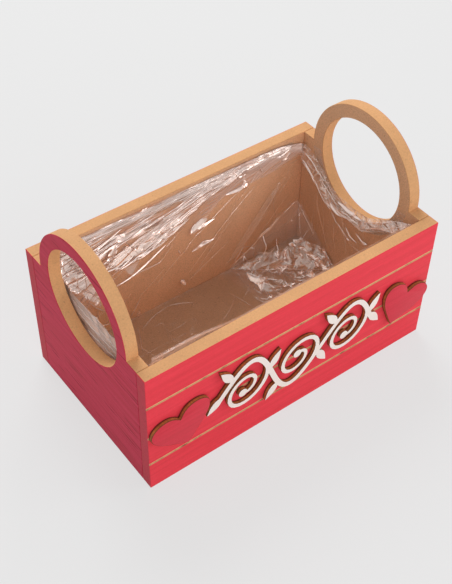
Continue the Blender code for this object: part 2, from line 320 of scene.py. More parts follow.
@shader_group(amount=0.5)
def rubbed_edge(vector, amount):
    """Where handling has rubbed the stain off an edge."""
    patches = noise(vector, 160.0, detail=5.0, roughness=0.65)
    start = 0.85 - amount
    return {"Mask": spread(patches, start, start + 0.12)}


@shader_group(bar_width=0.0012)
def beam_scorch(vector, bar_width):
    """Brown bars that a cutting beam leaves across an edge, darker and paler."""
    scale = 1.0 / bar_width
    stretched = vector_maths("MULTIPLY", vector, combined(vector.tree, X=scale, Y=180.0, Z=scale))
    pale = noise(stretched, 1.0, detail=2.0) * 0.55 + noise(vector, 110.0, detail=2.0) * 0.45
    return {"Pale": spread(pale, 0.42, 0.68)}


@shader_group(wrinkle_size=0.006)
def film_wrinkles(vector, wrinkle_size):
    """Fine wrinkles of crumpled film: their height, and the milky lines along them."""
    tree = vector.tree
    drift = wire(tree, "ShaderNodeTexNoise", {"Vector": vector, "Scale": 90.0, "Detail": 2.0}, "Color")
    warped = vector_maths("MULTIPLY_ADD", drift, (0.006, 0.006, 0.006), vector)
    inputs = {"Vector": warped, "Scale": 1.0 / wrinkle_size}
    height, from_edge = (
        wire(tree, "ShaderNodeTexVoronoi", inputs, "Distance", feature=feature)
        for feature in ("F1", "DISTANCE_TO_EDGE")
    )
    return {"Height": height, "Lines": 1.0 - spread(from_edge, 0.0, 0.07)}


@shader_group(pleat_width=0.0075, slope=0.66)
def film_pleats(vector, pleat_width, slope):
    """Gathered film: pleats that run along X, each a gentle slope with a steep lip."""

    def stretched(along, across):
        return vector_maths("MULTIPLY", vector, (1 / along, 1 / across, 1.0))

    along = part_of(vector, "X")
    drift = noise(stretched(0.080, 0.016), 1.0, detail=1.0)
    across = part_of(vector, "Y") + (drift - 0.5) * 0.008
    cells = across / pleat_width
    place_in_pleat = maths("FRACT", cells)
    pleat = combined(vector.tree, X=along / 0.05, Y=maths("FLOOR", cells) * 3.7)
    lean = spread(noise(pleat, 1.0, detail=1.0), 0.3, 0.7) * 0.8 + 0.3
    rise = maths("MINIMUM", place_in_pleat / 0.86, (1.0 - place_in_pleat) / 0.14)
    ripples = spread(noise(stretched(0.050, 0.010), 1.0, detail=1.0), 0.4, 0.6)
    fine = maths("PINGPONG", across, 0.0011) * 0.22
    height = rise * lean * (pleat_width * slope) + fine * ripples
    # The veil: long streaks by which the film's gloss and milk vary; the milk in them is partly painted
    # highlight.
    veil = noise(stretched(0.040, 0.0050), 1.0, detail=4.0, roughness=0.6)
    return {"Height": height * (along / FAN_SPREAD), "Veil": spread(veil, 0.38, 0.60)}


def new_material(name, **mapping):
    """A new material, its shader, and object coordinates mapped as asked."""
    made = bpy.data.materials.new(name)
    made.use_nodes = True
    return made, made.node_tree.nodes["Principled BSDF"], placed(made.node_tree, **mapping)


def finish(shader, base, roughness, height, strength, distance, specular=0.5, lean=None):
    """Gives a shader its colour, roughness and relief; lean is the normal the relief starts from."""
    plug(base, shader.inputs["Base Color"])
    plug(roughness, shader.inputs["Roughness"])
    shader.inputs["Specular IOR Level"].default_value = specular
    inputs = {"Height": height, "Strength": strength, "Distance": distance}
    if lean:
        inputs["Normal"] = lean
    plug(wire(base.tree, "ShaderNodeBump", inputs), shader.inputs["Normal"])


def darker(tone, factor):
    return tuple(value * factor for value in tone)


def raw_board_material(name, tone, speckled):
    """Bare fibreboard, a little mottled; speckled is how strongly its fibres show."""
    found = bpy.data.materials.get(name)
    if found:
        return found
    made, shader, vector = new_material(name)
    fibres = board_fibres(vector, fibre_size=0.0011)
    base = blend_colours(fibres["Clouds"], darker(tone, 0.95), darker(tone, 1.05))
    base = blend_colours(fibres["Speckle"] * speckled, base, darker(tone, 0.62))
    base = blend_colours(fibres["Flecks"] * speckled, base, darker(tone, 0.5))
    finish(shader, base, 0.78, fibres["Speckle"], 0.35, 0.00015, specular=0.25)
    return made


ROSY = screen(224, 120, 150)
DEEP = (0.58, 0.30, 0.40)  # the share of each colour that a dark streak keeps


def stain_material(name, tone, raw, along_y=False, lines_share=0.25, rubbed=0.0):
    """Red stain, brushed along the board; rubbed is how far it is worn off, from 0 to 1."""
    turn = (0, 0, math.radians(-90)) if along_y else (0, 0, 0)
    made, shader, vector = new_material(name, turn=turn)
    plain = placed(vector.tree)
    bands_share = 0.18 if along_y else 0.06
    rosy = tuple(a + (b - a) * bands_share for a, b in zip(tone, ROSY))
    deep = tuple(value * kept for value, kept in zip(tone, DEEP))
    streaks = brush_streaks(vector)
    fibres = board_fibres(plain, fibre_size=0.0014)
    base = blend_colours(streaks["Bands"], darker(tone, 0.95), darker(rosy, 1.05))
    base = blend_colours(streaks["Lines"] * lines_share, base, deep)
    base = blend_colours(fibres["Speckle"] * 0.16, base, darker(tone, 0.72))
    if rubbed:
        base = blend_colours(rubbed_edge(plain, amount=rubbed)["Mask"], base, raw)
    roughness = streaks["Bands"] * 0.1 + 0.5
    finish(shader, base, roughness, fibres["Speckle"], 0.2, 0.0001, specular=0.12)
    return made


def groove_material(tone, scorch):
    """Bare board in an engraved line, browned on its flank that faces up and in patches."""
    made, shader, vector = new_material("engraved_line")
    fibres = board_fibres(vector, fibre_size=0.0009)
    patches = spread(noise(vector, 120.0, detail=4.0), 0.45, 0.75)
    base = blend_colours(fibres["Speckle"] * 0.4, tone, darker(tone, 0.75))
    normal = wire(vector.tree, "ShaderNodeNewGeometry", output="True Normal")
    flank = spread(part_of(normal, "Z"), 0.25, 0.45)
    browned = maths("ADD", flank * (patches * 0.4 + 0.25), patches * 0.15, clamp=True)
    base = blend_colours(browned, base, scorch)
    finish(shader, base, 0.8, fibres["Speckle"], 0.3, 0.0001)
    return made


def scorched_material(name, scorch, toasted):
    """The browned side of a piece that was cut with a beam, palest in the middle of its thickness; its dark
    band towards the board behind is wider, which is partly painted shade.
    """
    made, shader, vector = new_material(name)
    pale = beam_scorch(vector)["Pale"]
    half = ORNAMENT / 2
    middle = (HEART_LOW.y + HEART_HIGH.y) / 2 - half * 0.15
    layer = spread(maths("ABSOLUTE", part_of(vector, "Y") - middle), half * 0.95, half * 0.25)
    base = blend_colours(layer * (pale * 0.45 + 0.45), scorch, toasted)
    finish(shader, base, 0.75, pale, 0.3, 0.0001, specular=0.2)
    return made


def paint_material(name, tone):
    """Thin white paint over board, with faint fibres showing."""
    made, shader, vector = new_material(name)
    fibres = board_fibres(vector, fibre_size=0.0016)
    base = blend_colours(fibres["Clouds"], darker(tone, 0.96), tone)
    base = blend_colours(fibres["Flecks"] * 0.1, base, darker(tone, 0.8))
    finish(shader, base, 0.5, fibres["Speckle"], 0.15, 0.0001)
    return made


def steel_material():
    """Bright wire, drawn, with faint lines along it."""
    made, shader, vector = new_material("pin_wire", scale=(900, 40, 900))
    lines = noise(vector, 1.0, detail=3.0)
    base = blend_colours(lines, screen(150, 150, 152), screen(205, 205, 208))
    finish(shader, base, lines * 0.2 + 0.25, lines, 0.1, 0.00005)
    shader.inputs["Metallic"].default_value = 1.0
    return made


def show_mix(factor, first, second, output="Material Output"):
    """Shows a mix of two shaders on a tree's output node."""
    tree = factor.tree
    sources = [Signal(tree, source.outputs[0]) for source in (first, second)]
    mixed = wire(tree, "ShaderNodeMixShader", {0: factor, 1: sources[0], 2: sources[1]})
    plug(mixed, tree.nodes[output].inputs["Surface"])


def see_through(shader, cover):
    """Mixes a clear shader with the given one, by how much of the view it covers."""
    show_mix(cover, add_node(cover.tree, "ShaderNodeBsdfTransparent"), shader)


def attribute(tree, name, output="Fac"):
    return wire(tree, "ShaderNodeAttribute", output=output, attribute_name=name)


# The milk's tint, which is also the tint of painted highlights in the creases, bands and pleats
MILK_AND_HIGHLIGHT_TONE = screen(255, 236, 229)
# The warmer tint of the glints' painted highlights
GLINT_TONE = screen(255, 228, 214)


def film_material(tint):
    """Clear film: glossy, and milky along its creases, its glued edge and its pleats; much of the milk is
    painted light, streaks and lines that stand in for highlights.
    """
    made, shader, vector = new_material("clear_film_finish")
    tree = vector.tree
    crease, haze_and_painted_light, pleated, crumpled, crinkled, glint = (
        attribute(tree, name) for name in ("crease", "haze_and_painted_light", "pleated", "crumpled", "crinkled", "glint")
    )
    wrinkles = film_wrinkles(vector, wrinkle_size=0.0045)
    pleats = film_pleats(combined(tree, X=attribute(tree, "along"), Y=attribute(tree, "across")))
    veil = pleats["Veil"]
    lined = crinkled * wrinkles["Lines"]
    shiny = spread(noise(vector, 110.0, detail=3.0), 0.42, 0.58) * 0.16 + 0.05
    facing_away = wire(tree, "ShaderNodeLayerWeight", {"Blend": 0.5}, "Facing")
    gloss = maths("POWER", facing_away, 4.0) * 0.5 + 0.03
    gloss += (veil * 0.34 + 0.10) * pleated
    gloss += maths("MINIMUM", haze_and_painted_light, 1.0) * 0.12
    gloss += lined * 0.25
    gloss += crease * 0.50
    gloss += crumpled * shiny
    gloss += glint * (veil * 0.45 + 0.50)
    milk_and_painted_light = haze_and_painted_light * (veil * 0.46 + 0.30) + 0.045
    milk_and_painted_light += pleated * 0.07
    milk_and_painted_light += crease * 0.50
    milk_and_painted_light += lined * 0.25
    cover = maths("ADD", gloss, milk_and_painted_light, clamp=True)
    plug(maths("DIVIDE", gloss, gloss + milk_and_painted_light, clamp=True), shader.inputs["Metallic"])
    tinted = maths("ADD", haze_and_painted_light + glint, crease + pleated, clamp=True)
    base = blend_colours(tinted, tint, MILK_AND_HIGHLIGHT_TONE)
    base = blend_colours(glint, base, GLINT_TONE)
    height = wrinkles["Height"] * ((1.0 - pleated) * 0.0002 + crinkled * 0.0008)
    height += pleats["Height"] * (pleated * (1.0 - glint * 0.85))
    # The glints lean the shading normal towards the sky: painted highlights.
    normal = wire(tree, "ShaderNodeNewGeometry", output="Normal")
    leaned = vector_maths("ADD", normal, attribute(tree, "glint_lean", "Vector"))
    finish(shader, base, 0.16, height, 1.0, 1.0, lean=vector_maths("NORMALIZE", leaned))
    see_through(shader, cover)
    return made


def glue_material(tint):
    """Dried clear glue, crackled and milky in patches."""
    made, shader, vector = new_material("clear_glue_finish")
    wrinkles = film_wrinkles(vector, wrinkle_size=0.0028)
    patches = spread(noise(vector, 240.0, detail=4.0, roughness=0.6), 0.4, 0.62)
    cover = maths("ADD", patches * 0.12 + 0.06, wrinkles["Lines"] * 0.15, clamp=True)
    base = blend_colours(patches, darker(tint, 0.85), tint)
    finish(shader, base, 0.25, wrinkles["Height"], 0.5, 0.0004)
    see_through(shader, cover)
    return made


def deselect():
    if bpy.context.mode != "OBJECT":
        bpy.ops.object.mode_set(mode="OBJECT")
    bpy.ops.object.select_all(action="DESELECT")


def only(made):
    """Selects one object and makes it the active one."""
    deselect()
    made.select_set(True)
    bpy.context.view_layer.objects.active = made


def named(name):
    """Names the object that an operator has just added."""
    made = bpy.context.active_object
    made.name = name
    made.data.name = name
    return made


def settle(made):
    """Puts an object's place, turn and scale into its mesh."""
    only(made)
    bpy.ops.object.transform_apply(location=True, rotation=True, scale=True)


def start_block(name, low, high):
    """A block between two corners."""
    deselect()
    middle = (Vector(low) + Vector(high)) / 2
    bpy.ops.mesh.primitive_cube_add(size=1, location=middle, scale=Vector(high) - Vector(low))
    made = named(name)
    settle(made)
    return made


def start_disc(name, radius, centre, thickness, sides):
    """A disc that stands across X."""
    deselect()
    bpy.ops.mesh.primitive_cylinder_add(
        vertices=sides,
        radius=radius,
        depth=thickness,
        location=centre,
        rotation=(0, math.pi / 2, 0),
    )
    made = named(name)
    settle(made)
    return made


def pick(made, kind, test):
    """Selects, in edit mode, the vertices, edges or faces that pass the test."""
    bpy.ops.mesh.select_mode(type=kind)
    bpy.ops.mesh.select_all(action="DESELECT")
    shape = bmesh.from_edit_mesh(made.data)
    items = {"VERT": shape.verts, "EDGE": shape.edges, "FACE": shape.faces}[kind]
    for item in items:
        if test(item):
            item.select_set(True)
    bmesh.update_edit_mesh(made.data)


def edit(made):
    only(made)
    bpy.ops.object.mode_set(mode="EDIT")


def combine(made, other, operation):
    """Joins or cuts with another object, which is used up."""
    only(made)
    step = made.modifiers.new(operation.lower(), "BOOLEAN")
    step.operation = operation
    step.object = other
    step.solver = "EXACT"
    bpy.ops.object.modifier_apply(modifier=step.name)
    bpy.data.objects.remove(other)


def round_edges(made, radius):
    """Rounds every sharp edge, keeping the flat faces flat to look at."""
    only(made)
    step = made.modifiers.new("round", "BEVEL")
    step.width = radius
    step.segments = 2
    step.limit_method = "ANGLE"
    step.angle_limit = SMOOTH_BELOW
    step.harden_normals = True
    step.use_clamp_overlap = True
    bpy.ops.object.shade_smooth_by_angle(angle=SMOOTH_BELOW)
    bpy.ops.object.modifier_apply(modifier=step.name)


def paint_faces(made, finishes, choose):
    """Gives each face the finish whose place in the list the choice returns."""
    made.data.materials.clear()
    for finish in finishes:
        made.data.materials.append(finish)
    for face in made.data.polygons:
        face.material_index = choose(face)


def done(made, slot, *nodes):
    """Lets a finished piece ride on the box and stand for its CAD nodes."""
    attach(made, BODY)
    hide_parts(*nodes)
    return made


FLAT = 0.98  # how squarely a flat face looks along its way
SLOPING = 0.25
RING_SIDES = 160
SMOOTH_BELOW = math.radians(40)
LINE_SHARES = (0.238, 0.488, 0.762)  # the engraved lines' heights, as shares of the wall's
RAW_FACE, STAIN, RUBBED, CUT_EDGE, END_STAIN, GROOVE = range(6)  # a board's finishes, in order


def board_choice(outward, inward):
    """Stain on the faces that look outward, worn stain on the rounds beside them, the
    board's own face inside and the paler cut board on the remaining edges."""

    def choose(face):
        facing_out = max(face.normal.dot(Vector(way)) for way in outward)
        if facing_out > FLAT:
            return STAIN
        if facing_out > SLOPING:
            return RUBBED
        return RAW_FACE if face.normal.dot(Vector(inward)) > FLAT else CUT_EDGE

    return choose


# The last share scales the raw board on a board's inside; any share but 1 is painted light or shade.
def board_finishes(finishes, name, tone, along_y, lines_share, inner_painted_light=1.0):
    raw = finishes.cut_board
    return [
        raw_board_material(f"{name}_raw_face", darker(finishes.raw_board, inner_painted_light), 0.65),
        stain_material(f"{name}_stain", tone, raw, along_y, lines_share),
        stain_material(f"{name}_rubbed_edge", tone, raw, along_y, lines_share, rubbed=0.20),
        raw_board_material("cut_board_edge", raw, 0.35),
    ]


def long_board_finishes(finishes, name, inner_painted_light):
    looks = board_finishes(finishes, name, finishes.front_stain, False, 0.12, inner_painted_light)
    looks.append(stain_material(f"{name}_end_stain", finishes.end_grain_stain, finishes.cut_board))
    return looks


def long_board_choice(outward_y):
    """Like board_choice, with the end stain on the board's ends and the rounds behind them."""
    choice = board_choice([(0, outward_y, 0), (-1, 0, 0), (1, 0, 0)], (0, -outward_y, 0))

    def choose(face):
        least = FLAT if face.normal.y * outward_y > -0.1 else SLOPING
        return END_STAIN if abs(face.normal.x) > least else choice(face)

    return choose


def engrave(made, sizes, face_y, height):
    """Cuts an engraved line: four cuts across the board, whose middle two sink in."""
    lip = sizes.groove_width / 2
    bottom = lip * 0.45
    edit(made)
    for offset in (-lip, -bottom, bottom, lip):
        bpy.ops.mesh.select_all(action="SELECT")
        bpy.ops.mesh.bisect(plane_co=(0, face_y, height + offset), plane_no=(0, 0, 1))
    pick(made, "VERT", lambda v: abs(v.co.z - height) < bottom * 1.2 and abs(v.co.y - face_y) < 1e-5)
    bpy.ops.transform.translate(value=(0, sizes.groove_depth, 0))
    bpy.ops.object.mode_set(mode="OBJECT")


def long_board(name, low, high, sizes, heights=()):
    """A board with rounded edges, and with engraved lines at the heights given."""
    made = start_block(name, low, high)
    edit(made)
    pick(made, "EDGE", lambda e: True)
    bpy.ops.mesh.bevel(offset=sizes.edge_round, segments=2, affect="EDGES")
    bpy.ops.object.mode_set(mode="OBJECT")
    for height in heights:
        engrave(made, sizes, low.y, height)
    only(made)
    bpy.ops.object.shade_smooth_by_angle(angle=SMOOTH_BELOW)
    bpy.ops.object.modifier_add(type="WEIGHTED_NORMAL")
    bpy.ops.object.modifier_apply(modifier=made.modifiers[-1].name)
    return made


class GIFTBOX_OT_front_board(bpy.types.Operator):
    """Makes the front board with its three engraved lines"""

    bl_idname = "giftbox.front_board"
    bl_label = "Front board"

    def execute(self, context):
        sizes = context.scene.gift_box_sizes
        finishes = context.scene.gift_box_finishes
        lines = [line_share * WALL_HEIGHT for line_share in LINE_SHARES]
        made = long_board("front_board", FRONT_LOW, FRONT_HIGH, sizes, lines)
        looks = long_board_finishes(finishes, "front", 1.0)
        looks.append(groove_material(finishes.groove, finishes.scorch))
        plain = long_board_choice(-1)
        reach = sizes.groove_width / 2

        def choose(face):
            inside = any(abs(face.center.z - height) < reach for height in lines)
            at_front = face.center.y < FRONT_LOW.y + sizes.groove_depth * 1.1
            sunk = face.center.y > FRONT_LOW.y + sizes.edge_round / 8
            return GROOVE if inside and at_front and sunk else plain(face)

        paint_faces(made, looks, choose)
        done(made, "front_stain", "front_panel")
        return {"FINISHED"}


class GIFTBOX_OT_back_board(bpy.types.Operator):
    """Makes the plain back board"""

    bl_idname = "giftbox.back_board"
    bl_label = "Back board"

    def execute(self, context):
        made = long_board("back_board", BACK_LOW, BACK_HIGH, context.scene.gift_box_sizes)
        # The back board's inside is the raw board made 10% lighter: painted light on the back wall inside
        # the box.
        looks = long_board_finishes(context.scene.gift_box_finishes, "back", 1.10)
        paint_faces(made, looks, long_board_choice(1))
        done(made, "back_stain", "back_panel")
        return {"FINISHED"}


def end_board(name, node, slot, side, context):
    """An end board whose top is a ring handle; side is -1 at the left and 1 at the right."""
    sizes = context.scene.gift_box_sizes
    finishes = context.scene.gift_box_finishes
    low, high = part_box(node)
    board = high.x - low.x
    centre = Vector(((low.x + high.x) / 2, 0, high.z - sizes.ring_radius))
    made = start_block(name, low, (high.x, high.y, WALL_HEIGHT))
    combine(made, start_disc("ring", sizes.ring_radius, centre, board, RING_SIDES), "UNION")
    hole = start_disc("hand_hole", sizes.hole_radius, centre, board * 2, RING_SIDES)
    combine(made, hole, "DIFFERENCE")
    round_edges(made, sizes.edge_round)
    # The end boards' stain is darker than the front's: painted shade on the box's sides.
    looks = board_finishes(finishes, name, finishes.side_stain_with_painted_shade, True, 0.9)
    paint_faces(made, looks, board_choice([(side, 0, 0)], (-side, 0, 0)))
    return done(made, slot, node)


class GIFTBOX_OT_end_boards(bpy.types.Operator):
    """Makes both end boards with their ring handles"""

    bl_idname = "giftbox.end_boards"
    bl_label = "End boards"

    def execute(self, context):
        end_board("left_end_board", "left_end_panel", "left_stain", -1, context)
        end_board("right_end_board", "right_end_panel", "right_stain", 1, context)
        return {"FINISHED"}


def dress(nodes, look):
    """Gives CAD nodes a material of their own."""
    for name in nodes:
        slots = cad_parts[name].data.materials
        slots.clear()
        slots.append(look)


class GIFTBOX_OT_bottom_and_pins(bpy.types.Operator):
    """Gives the bottom panel bare board and the pins bright wire"""

    bl_idname = "giftbox.bottom_and_pins"
    bl_label = "Bottom and pins"

    def execute(self, context):
        finishes = context.scene.gift_box_finishes
        tone = darker(finishes.raw_board, 0.78)
        dress(["bottom_panel"], raw_board_material("bottom_board_face", tone, 0.45))
        dress(PINS, steel_material())
        return {"FINISHED"}


def flat_curve(name, splines, sizes, thickness):
    """A flat outline with rounded rims as a mesh, standing across Y.

    Each spline is a list of points, and each point is its place and its two handles."""
    deselect()
    bpy.ops.curve.primitive_bezier_circle_add(radius=0.01)
    drawn = named(name)
    curve = drawn.data
    curve.dimensions = "2D"
    curve.fill_mode = "BOTH"
    curve.resolution_u = 20
    curve.extrude = thickness / 2 - sizes.cut_round
    curve.bevel_depth = sizes.cut_round
    curve.bevel_resolution = 1
    curve.offset = -sizes.cut_round
    curve.splines.clear()
    for points in splines:
        spline = curve.splines.new("BEZIER")
        spline.bezier_points.add(len(points) - 1)
        spline.use_cyclic_u = True
        for target, (place, before, after) in zip(spline.bezier_points, points):
            target.co = (*place, 0)
            target.handle_left_type = target.handle_right_type = "FREE"
            target.handle_left = (*before, 0)
            target.handle_right = (*after, 0)
    bpy.ops.object.convert(target="MESH")
    made = bpy.context.active_object
    edit(made)
    bpy.ops.mesh.select_all(action="SELECT")
    bpy.ops.mesh.remove_doubles(threshold=1e-6)
    bpy.ops.mesh.normals_make_consistent(inside=False)
    bpy.ops.object.mode_set(mode="OBJECT")
    return made


def stand_on_front(made, x, tip_height, tilt):
    """Turns a flat piece upright, leans it and sets it on the front."""
    upright = Matrix.Rotation(math.pi / 2, 4, "X")
    lean = Matrix.Rotation(tilt, 4, "Z")
    place = Matrix.Translation((x, ORNAMENT_FRONT + ORNAMENT / 2, tip_height))
    made.matrix_world = place @ upright @ lean
    settle(made)


def heart_points(sizes):
    """A heart with its tip at the origin: six points with their handles."""
    half = sizes.heart_width / 2
    tall = sizes.heart_height
    wide = 0.76 * tall
    cleft = tall - sizes.heart_cleft
    shoulder = tall - wide
    right = [
        ((half, wide), (half, 0.49 * tall), (half, wide + 0.55 * shoulder)),
        ((0.52 * half, tall), (0.79 * half, tall), (0.23 * half, tall)),
    ]
    mirrored = [tuple((-x, z) for x, z in (place, after, before)) for place, before, after in right]
    tip = ((0, 0), (-0.47 * half, 0.27 * tall), (0.47 * half, 0.27 * tall))
    notch_height = cleft + 0.45 * sizes.heart_cleft
    notch = ((0, cleft), (0.12 * half, notch_height), (-0.12 * half, notch_height))
    return [tip, *right, notch, *reversed(mirrored)]


def ornament_choice(face):
    return 0 if face.normal.y < -FLAT else 1


def heart(name, node, inset, side, tilt, context):
    sizes = context.scene.gift_box_sizes
    finishes = context.scene.gift_box_finishes
    made = flat_curve(name, [heart_points(sizes)], sizes, ORNAMENT)
    x = side * (FRONT_HIGH.x - inset)
    stand_on_front(made, x, sizes.heart_tip, math.radians(tilt))
    only(made)
    bpy.ops.object.shade_smooth_by_angle(angle=math.radians(35))
    face = bpy.data.materials.get("heart_stain_finish") or stain_material(
        "heart_stain_finish", finishes.heart_stain, finishes.raw_board, lines_share=0.1
    )
    side_look = bpy.data.materials.get("scorched_heart_edge") or scorched_material(
        "scorched_heart_edge", finishes.scorch, finishes.toasted
    )
    paint_faces(made, [face, side_look], ornament_choice)
    return done(made, "heart_stain", node)


class GIFTBOX_OT_hearts(bpy.types.Operator):
    """Makes the two cut hearts on the front"""

    bl_idname = "giftbox.hearts"
    bl_label = "Hearts"

    def execute(self, context):
        heart("left_cut_heart", "left_heart", 0.0299, -1, 12.2, context)
        heart("right_cut_heart", "right_heart", 0.0364, 1, -26.9, context)
        return {"FINISHED"}


class GIFTBOX_OT_scroll(bpy.types.Operator):
    """Paints the cut scroll white, with browned edges"""

    bl_idname = "giftbox.scroll"
    bl_label = "Scroll"

    def execute(self, context):
        finishes = context.scene.gift_box_finishes
        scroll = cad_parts["scroll_ornament"]
        paint = paint_material("scroll_paint", finishes.white_paint)
        side = scorched_material("scorched_scroll_edge", finishes.scorch, finishes.toasted)
        paint_faces(scroll, [paint, side], ornament_choice)
        return {"FINISHED"}


class GIFTBOX_OT_glue_bands(bpy.types.Operator):
    """Gives the bands of glue their crackled look"""

    bl_idname = "giftbox.glue_bands"
    bl_label = "Glue bands"

    def execute(self, context):
        dress(GLUE_BANDS, glue_material(context.scene.gift_box_finishes.glue_tint))
        return {"FINISHED"}


TENTHS = 10000  # tenths of a millimetre in a metre


def metres(*tenths):
    """Lengths in metres, from whole tenths of a millimetre."""
    return tuple(value / TENTHS for value in tenths)


def places(*tenths):
    """Places on a face, in metres, from their two coordinates in turn."""
    return tuple(zip(metres(*tenths[::2]), metres(*tenths[1::2])))


def fold(*tenths):
    """A fold's start and end, its width on the left of its way and on the right, and its height."""
    return (*places(*tenths[:4]), *metres(*tenths[4:]))


# The film's shape. On the back and front walls a place is along X and up Z, on an end wall
# along Y and up Z, and on the floor along X and Y. Tables are in tenths of a millimetre.
CORNER_ROUND = 0.005
FOOT_ROUND = 0.003
RIM_BACK = 0.1095
RIM_CORNER = 0.108
RIM_LEFT = 0.0965  # across the left hand hole
FAN_POINT = (0.080, 0.112)  # where the pleats of the back wall run together
FAN_SPREAD = 0.13
FAN_ROUND = 0.04
END_STRETCH = 0.20  # how far from the fan's point the end walls' pleats count as
PLEATED_FROM = places(
    -1120, 580, -660, 655, -430, 640, -150, 710, 40, 805, 240, 930, 500, 975, 1120, 960,
)
WALL_FOLDS = (
    fold(-1120, 585, -660, 655, 60, 20, 18),
    fold(-660, 655, -430, 640, 85, 25, 24),
    fold(-430, 640, -150, 710, 90, 25, 26),
    fold(-150, 710, 40, 805, 80, 22, 24),
    fold(40, 805, 240, 930, 60, 20, 18),
    fold(240, 930, 620, 1010, 45, 18, 14),
    fold(-620, 460, -140, 657, 36, 25, 14),
    fold(250, 750, 580, 860, 40, 25, 18),
    fold(60, 628, 290, 757, 50, 25, 22),
    fold(-50, 490, 300, 475, 40, 20, 18),
)
FLOOR_FOLDS = (
    fold(-4, 507, -176, 615, 40, 40, 20),
    fold(-4, 507, -226, 246, 50, 40, 22),
    fold(-4, 507, 55, 630, 40, 40, 20),
    fold(-412, 481, -229, 398, 40, 30, 12),
    fold(-490, 505, -208, 604, 40, 30, 12),
    fold(-360, 395, -344, 250, 40, 30, 12),
)
CRUMPLE_LEFT = 0.040  # the floor's crumples lie to the right of this
CRUMPLE_SLANT = 0.12  # how much further left they reach for each step towards the back
FINE_LEFT = CRUMPLE_LEFT + 0.004  # the mesh is finer to the right of this
FINE_TOP = 0.005  # and below this
CORNER_FROM = 0.045  # or, behind this, in the corner,
CORNER_TOP = 0.024  # below this
CRUMPLES = ((0.0090, 0.0028), (0.0036, 0.0010))  # the size and height of large and small facets
CRUMPLE_TOP = places(
    450, 46, 570, 94, 690, 126, 860, 167, 1010, 215, 1090, 227, 1160, 160,
)
CORNER_FACET = ((0.1150, 0.0635, 0.046), (0.043, 0.0635, 0.003), (0.1155, 0.0120, 0.004))

# Curves over the walls, as places along the wall and heights: the film's edge on the right
# end and on the back, and the lower edge of the milky band below each.
RIGHT_RIM = places(
    -635, 1075, -373, 947, -173, 812, 125, 794, 240, 815, 330, 889, 440, 969, 515, 1030, 635, 1030,
)
RIGHT_FOOT = places(
    -635, 995, -503, 930, -175, 690, -24, 655, 119, 640, 268, 650, 343, 714, 523, 818, 584, 900, 635, 930,
)
BACK_RIM = places(775, 1095, 910, 1088, 1022, 1062, 1136, 1030)
BACK_FOOT = places(-100, 560, 65, 635, 387, 847, 789, 850, 965, 885, 1146, 912)
BAND_BULGE = 0.0045

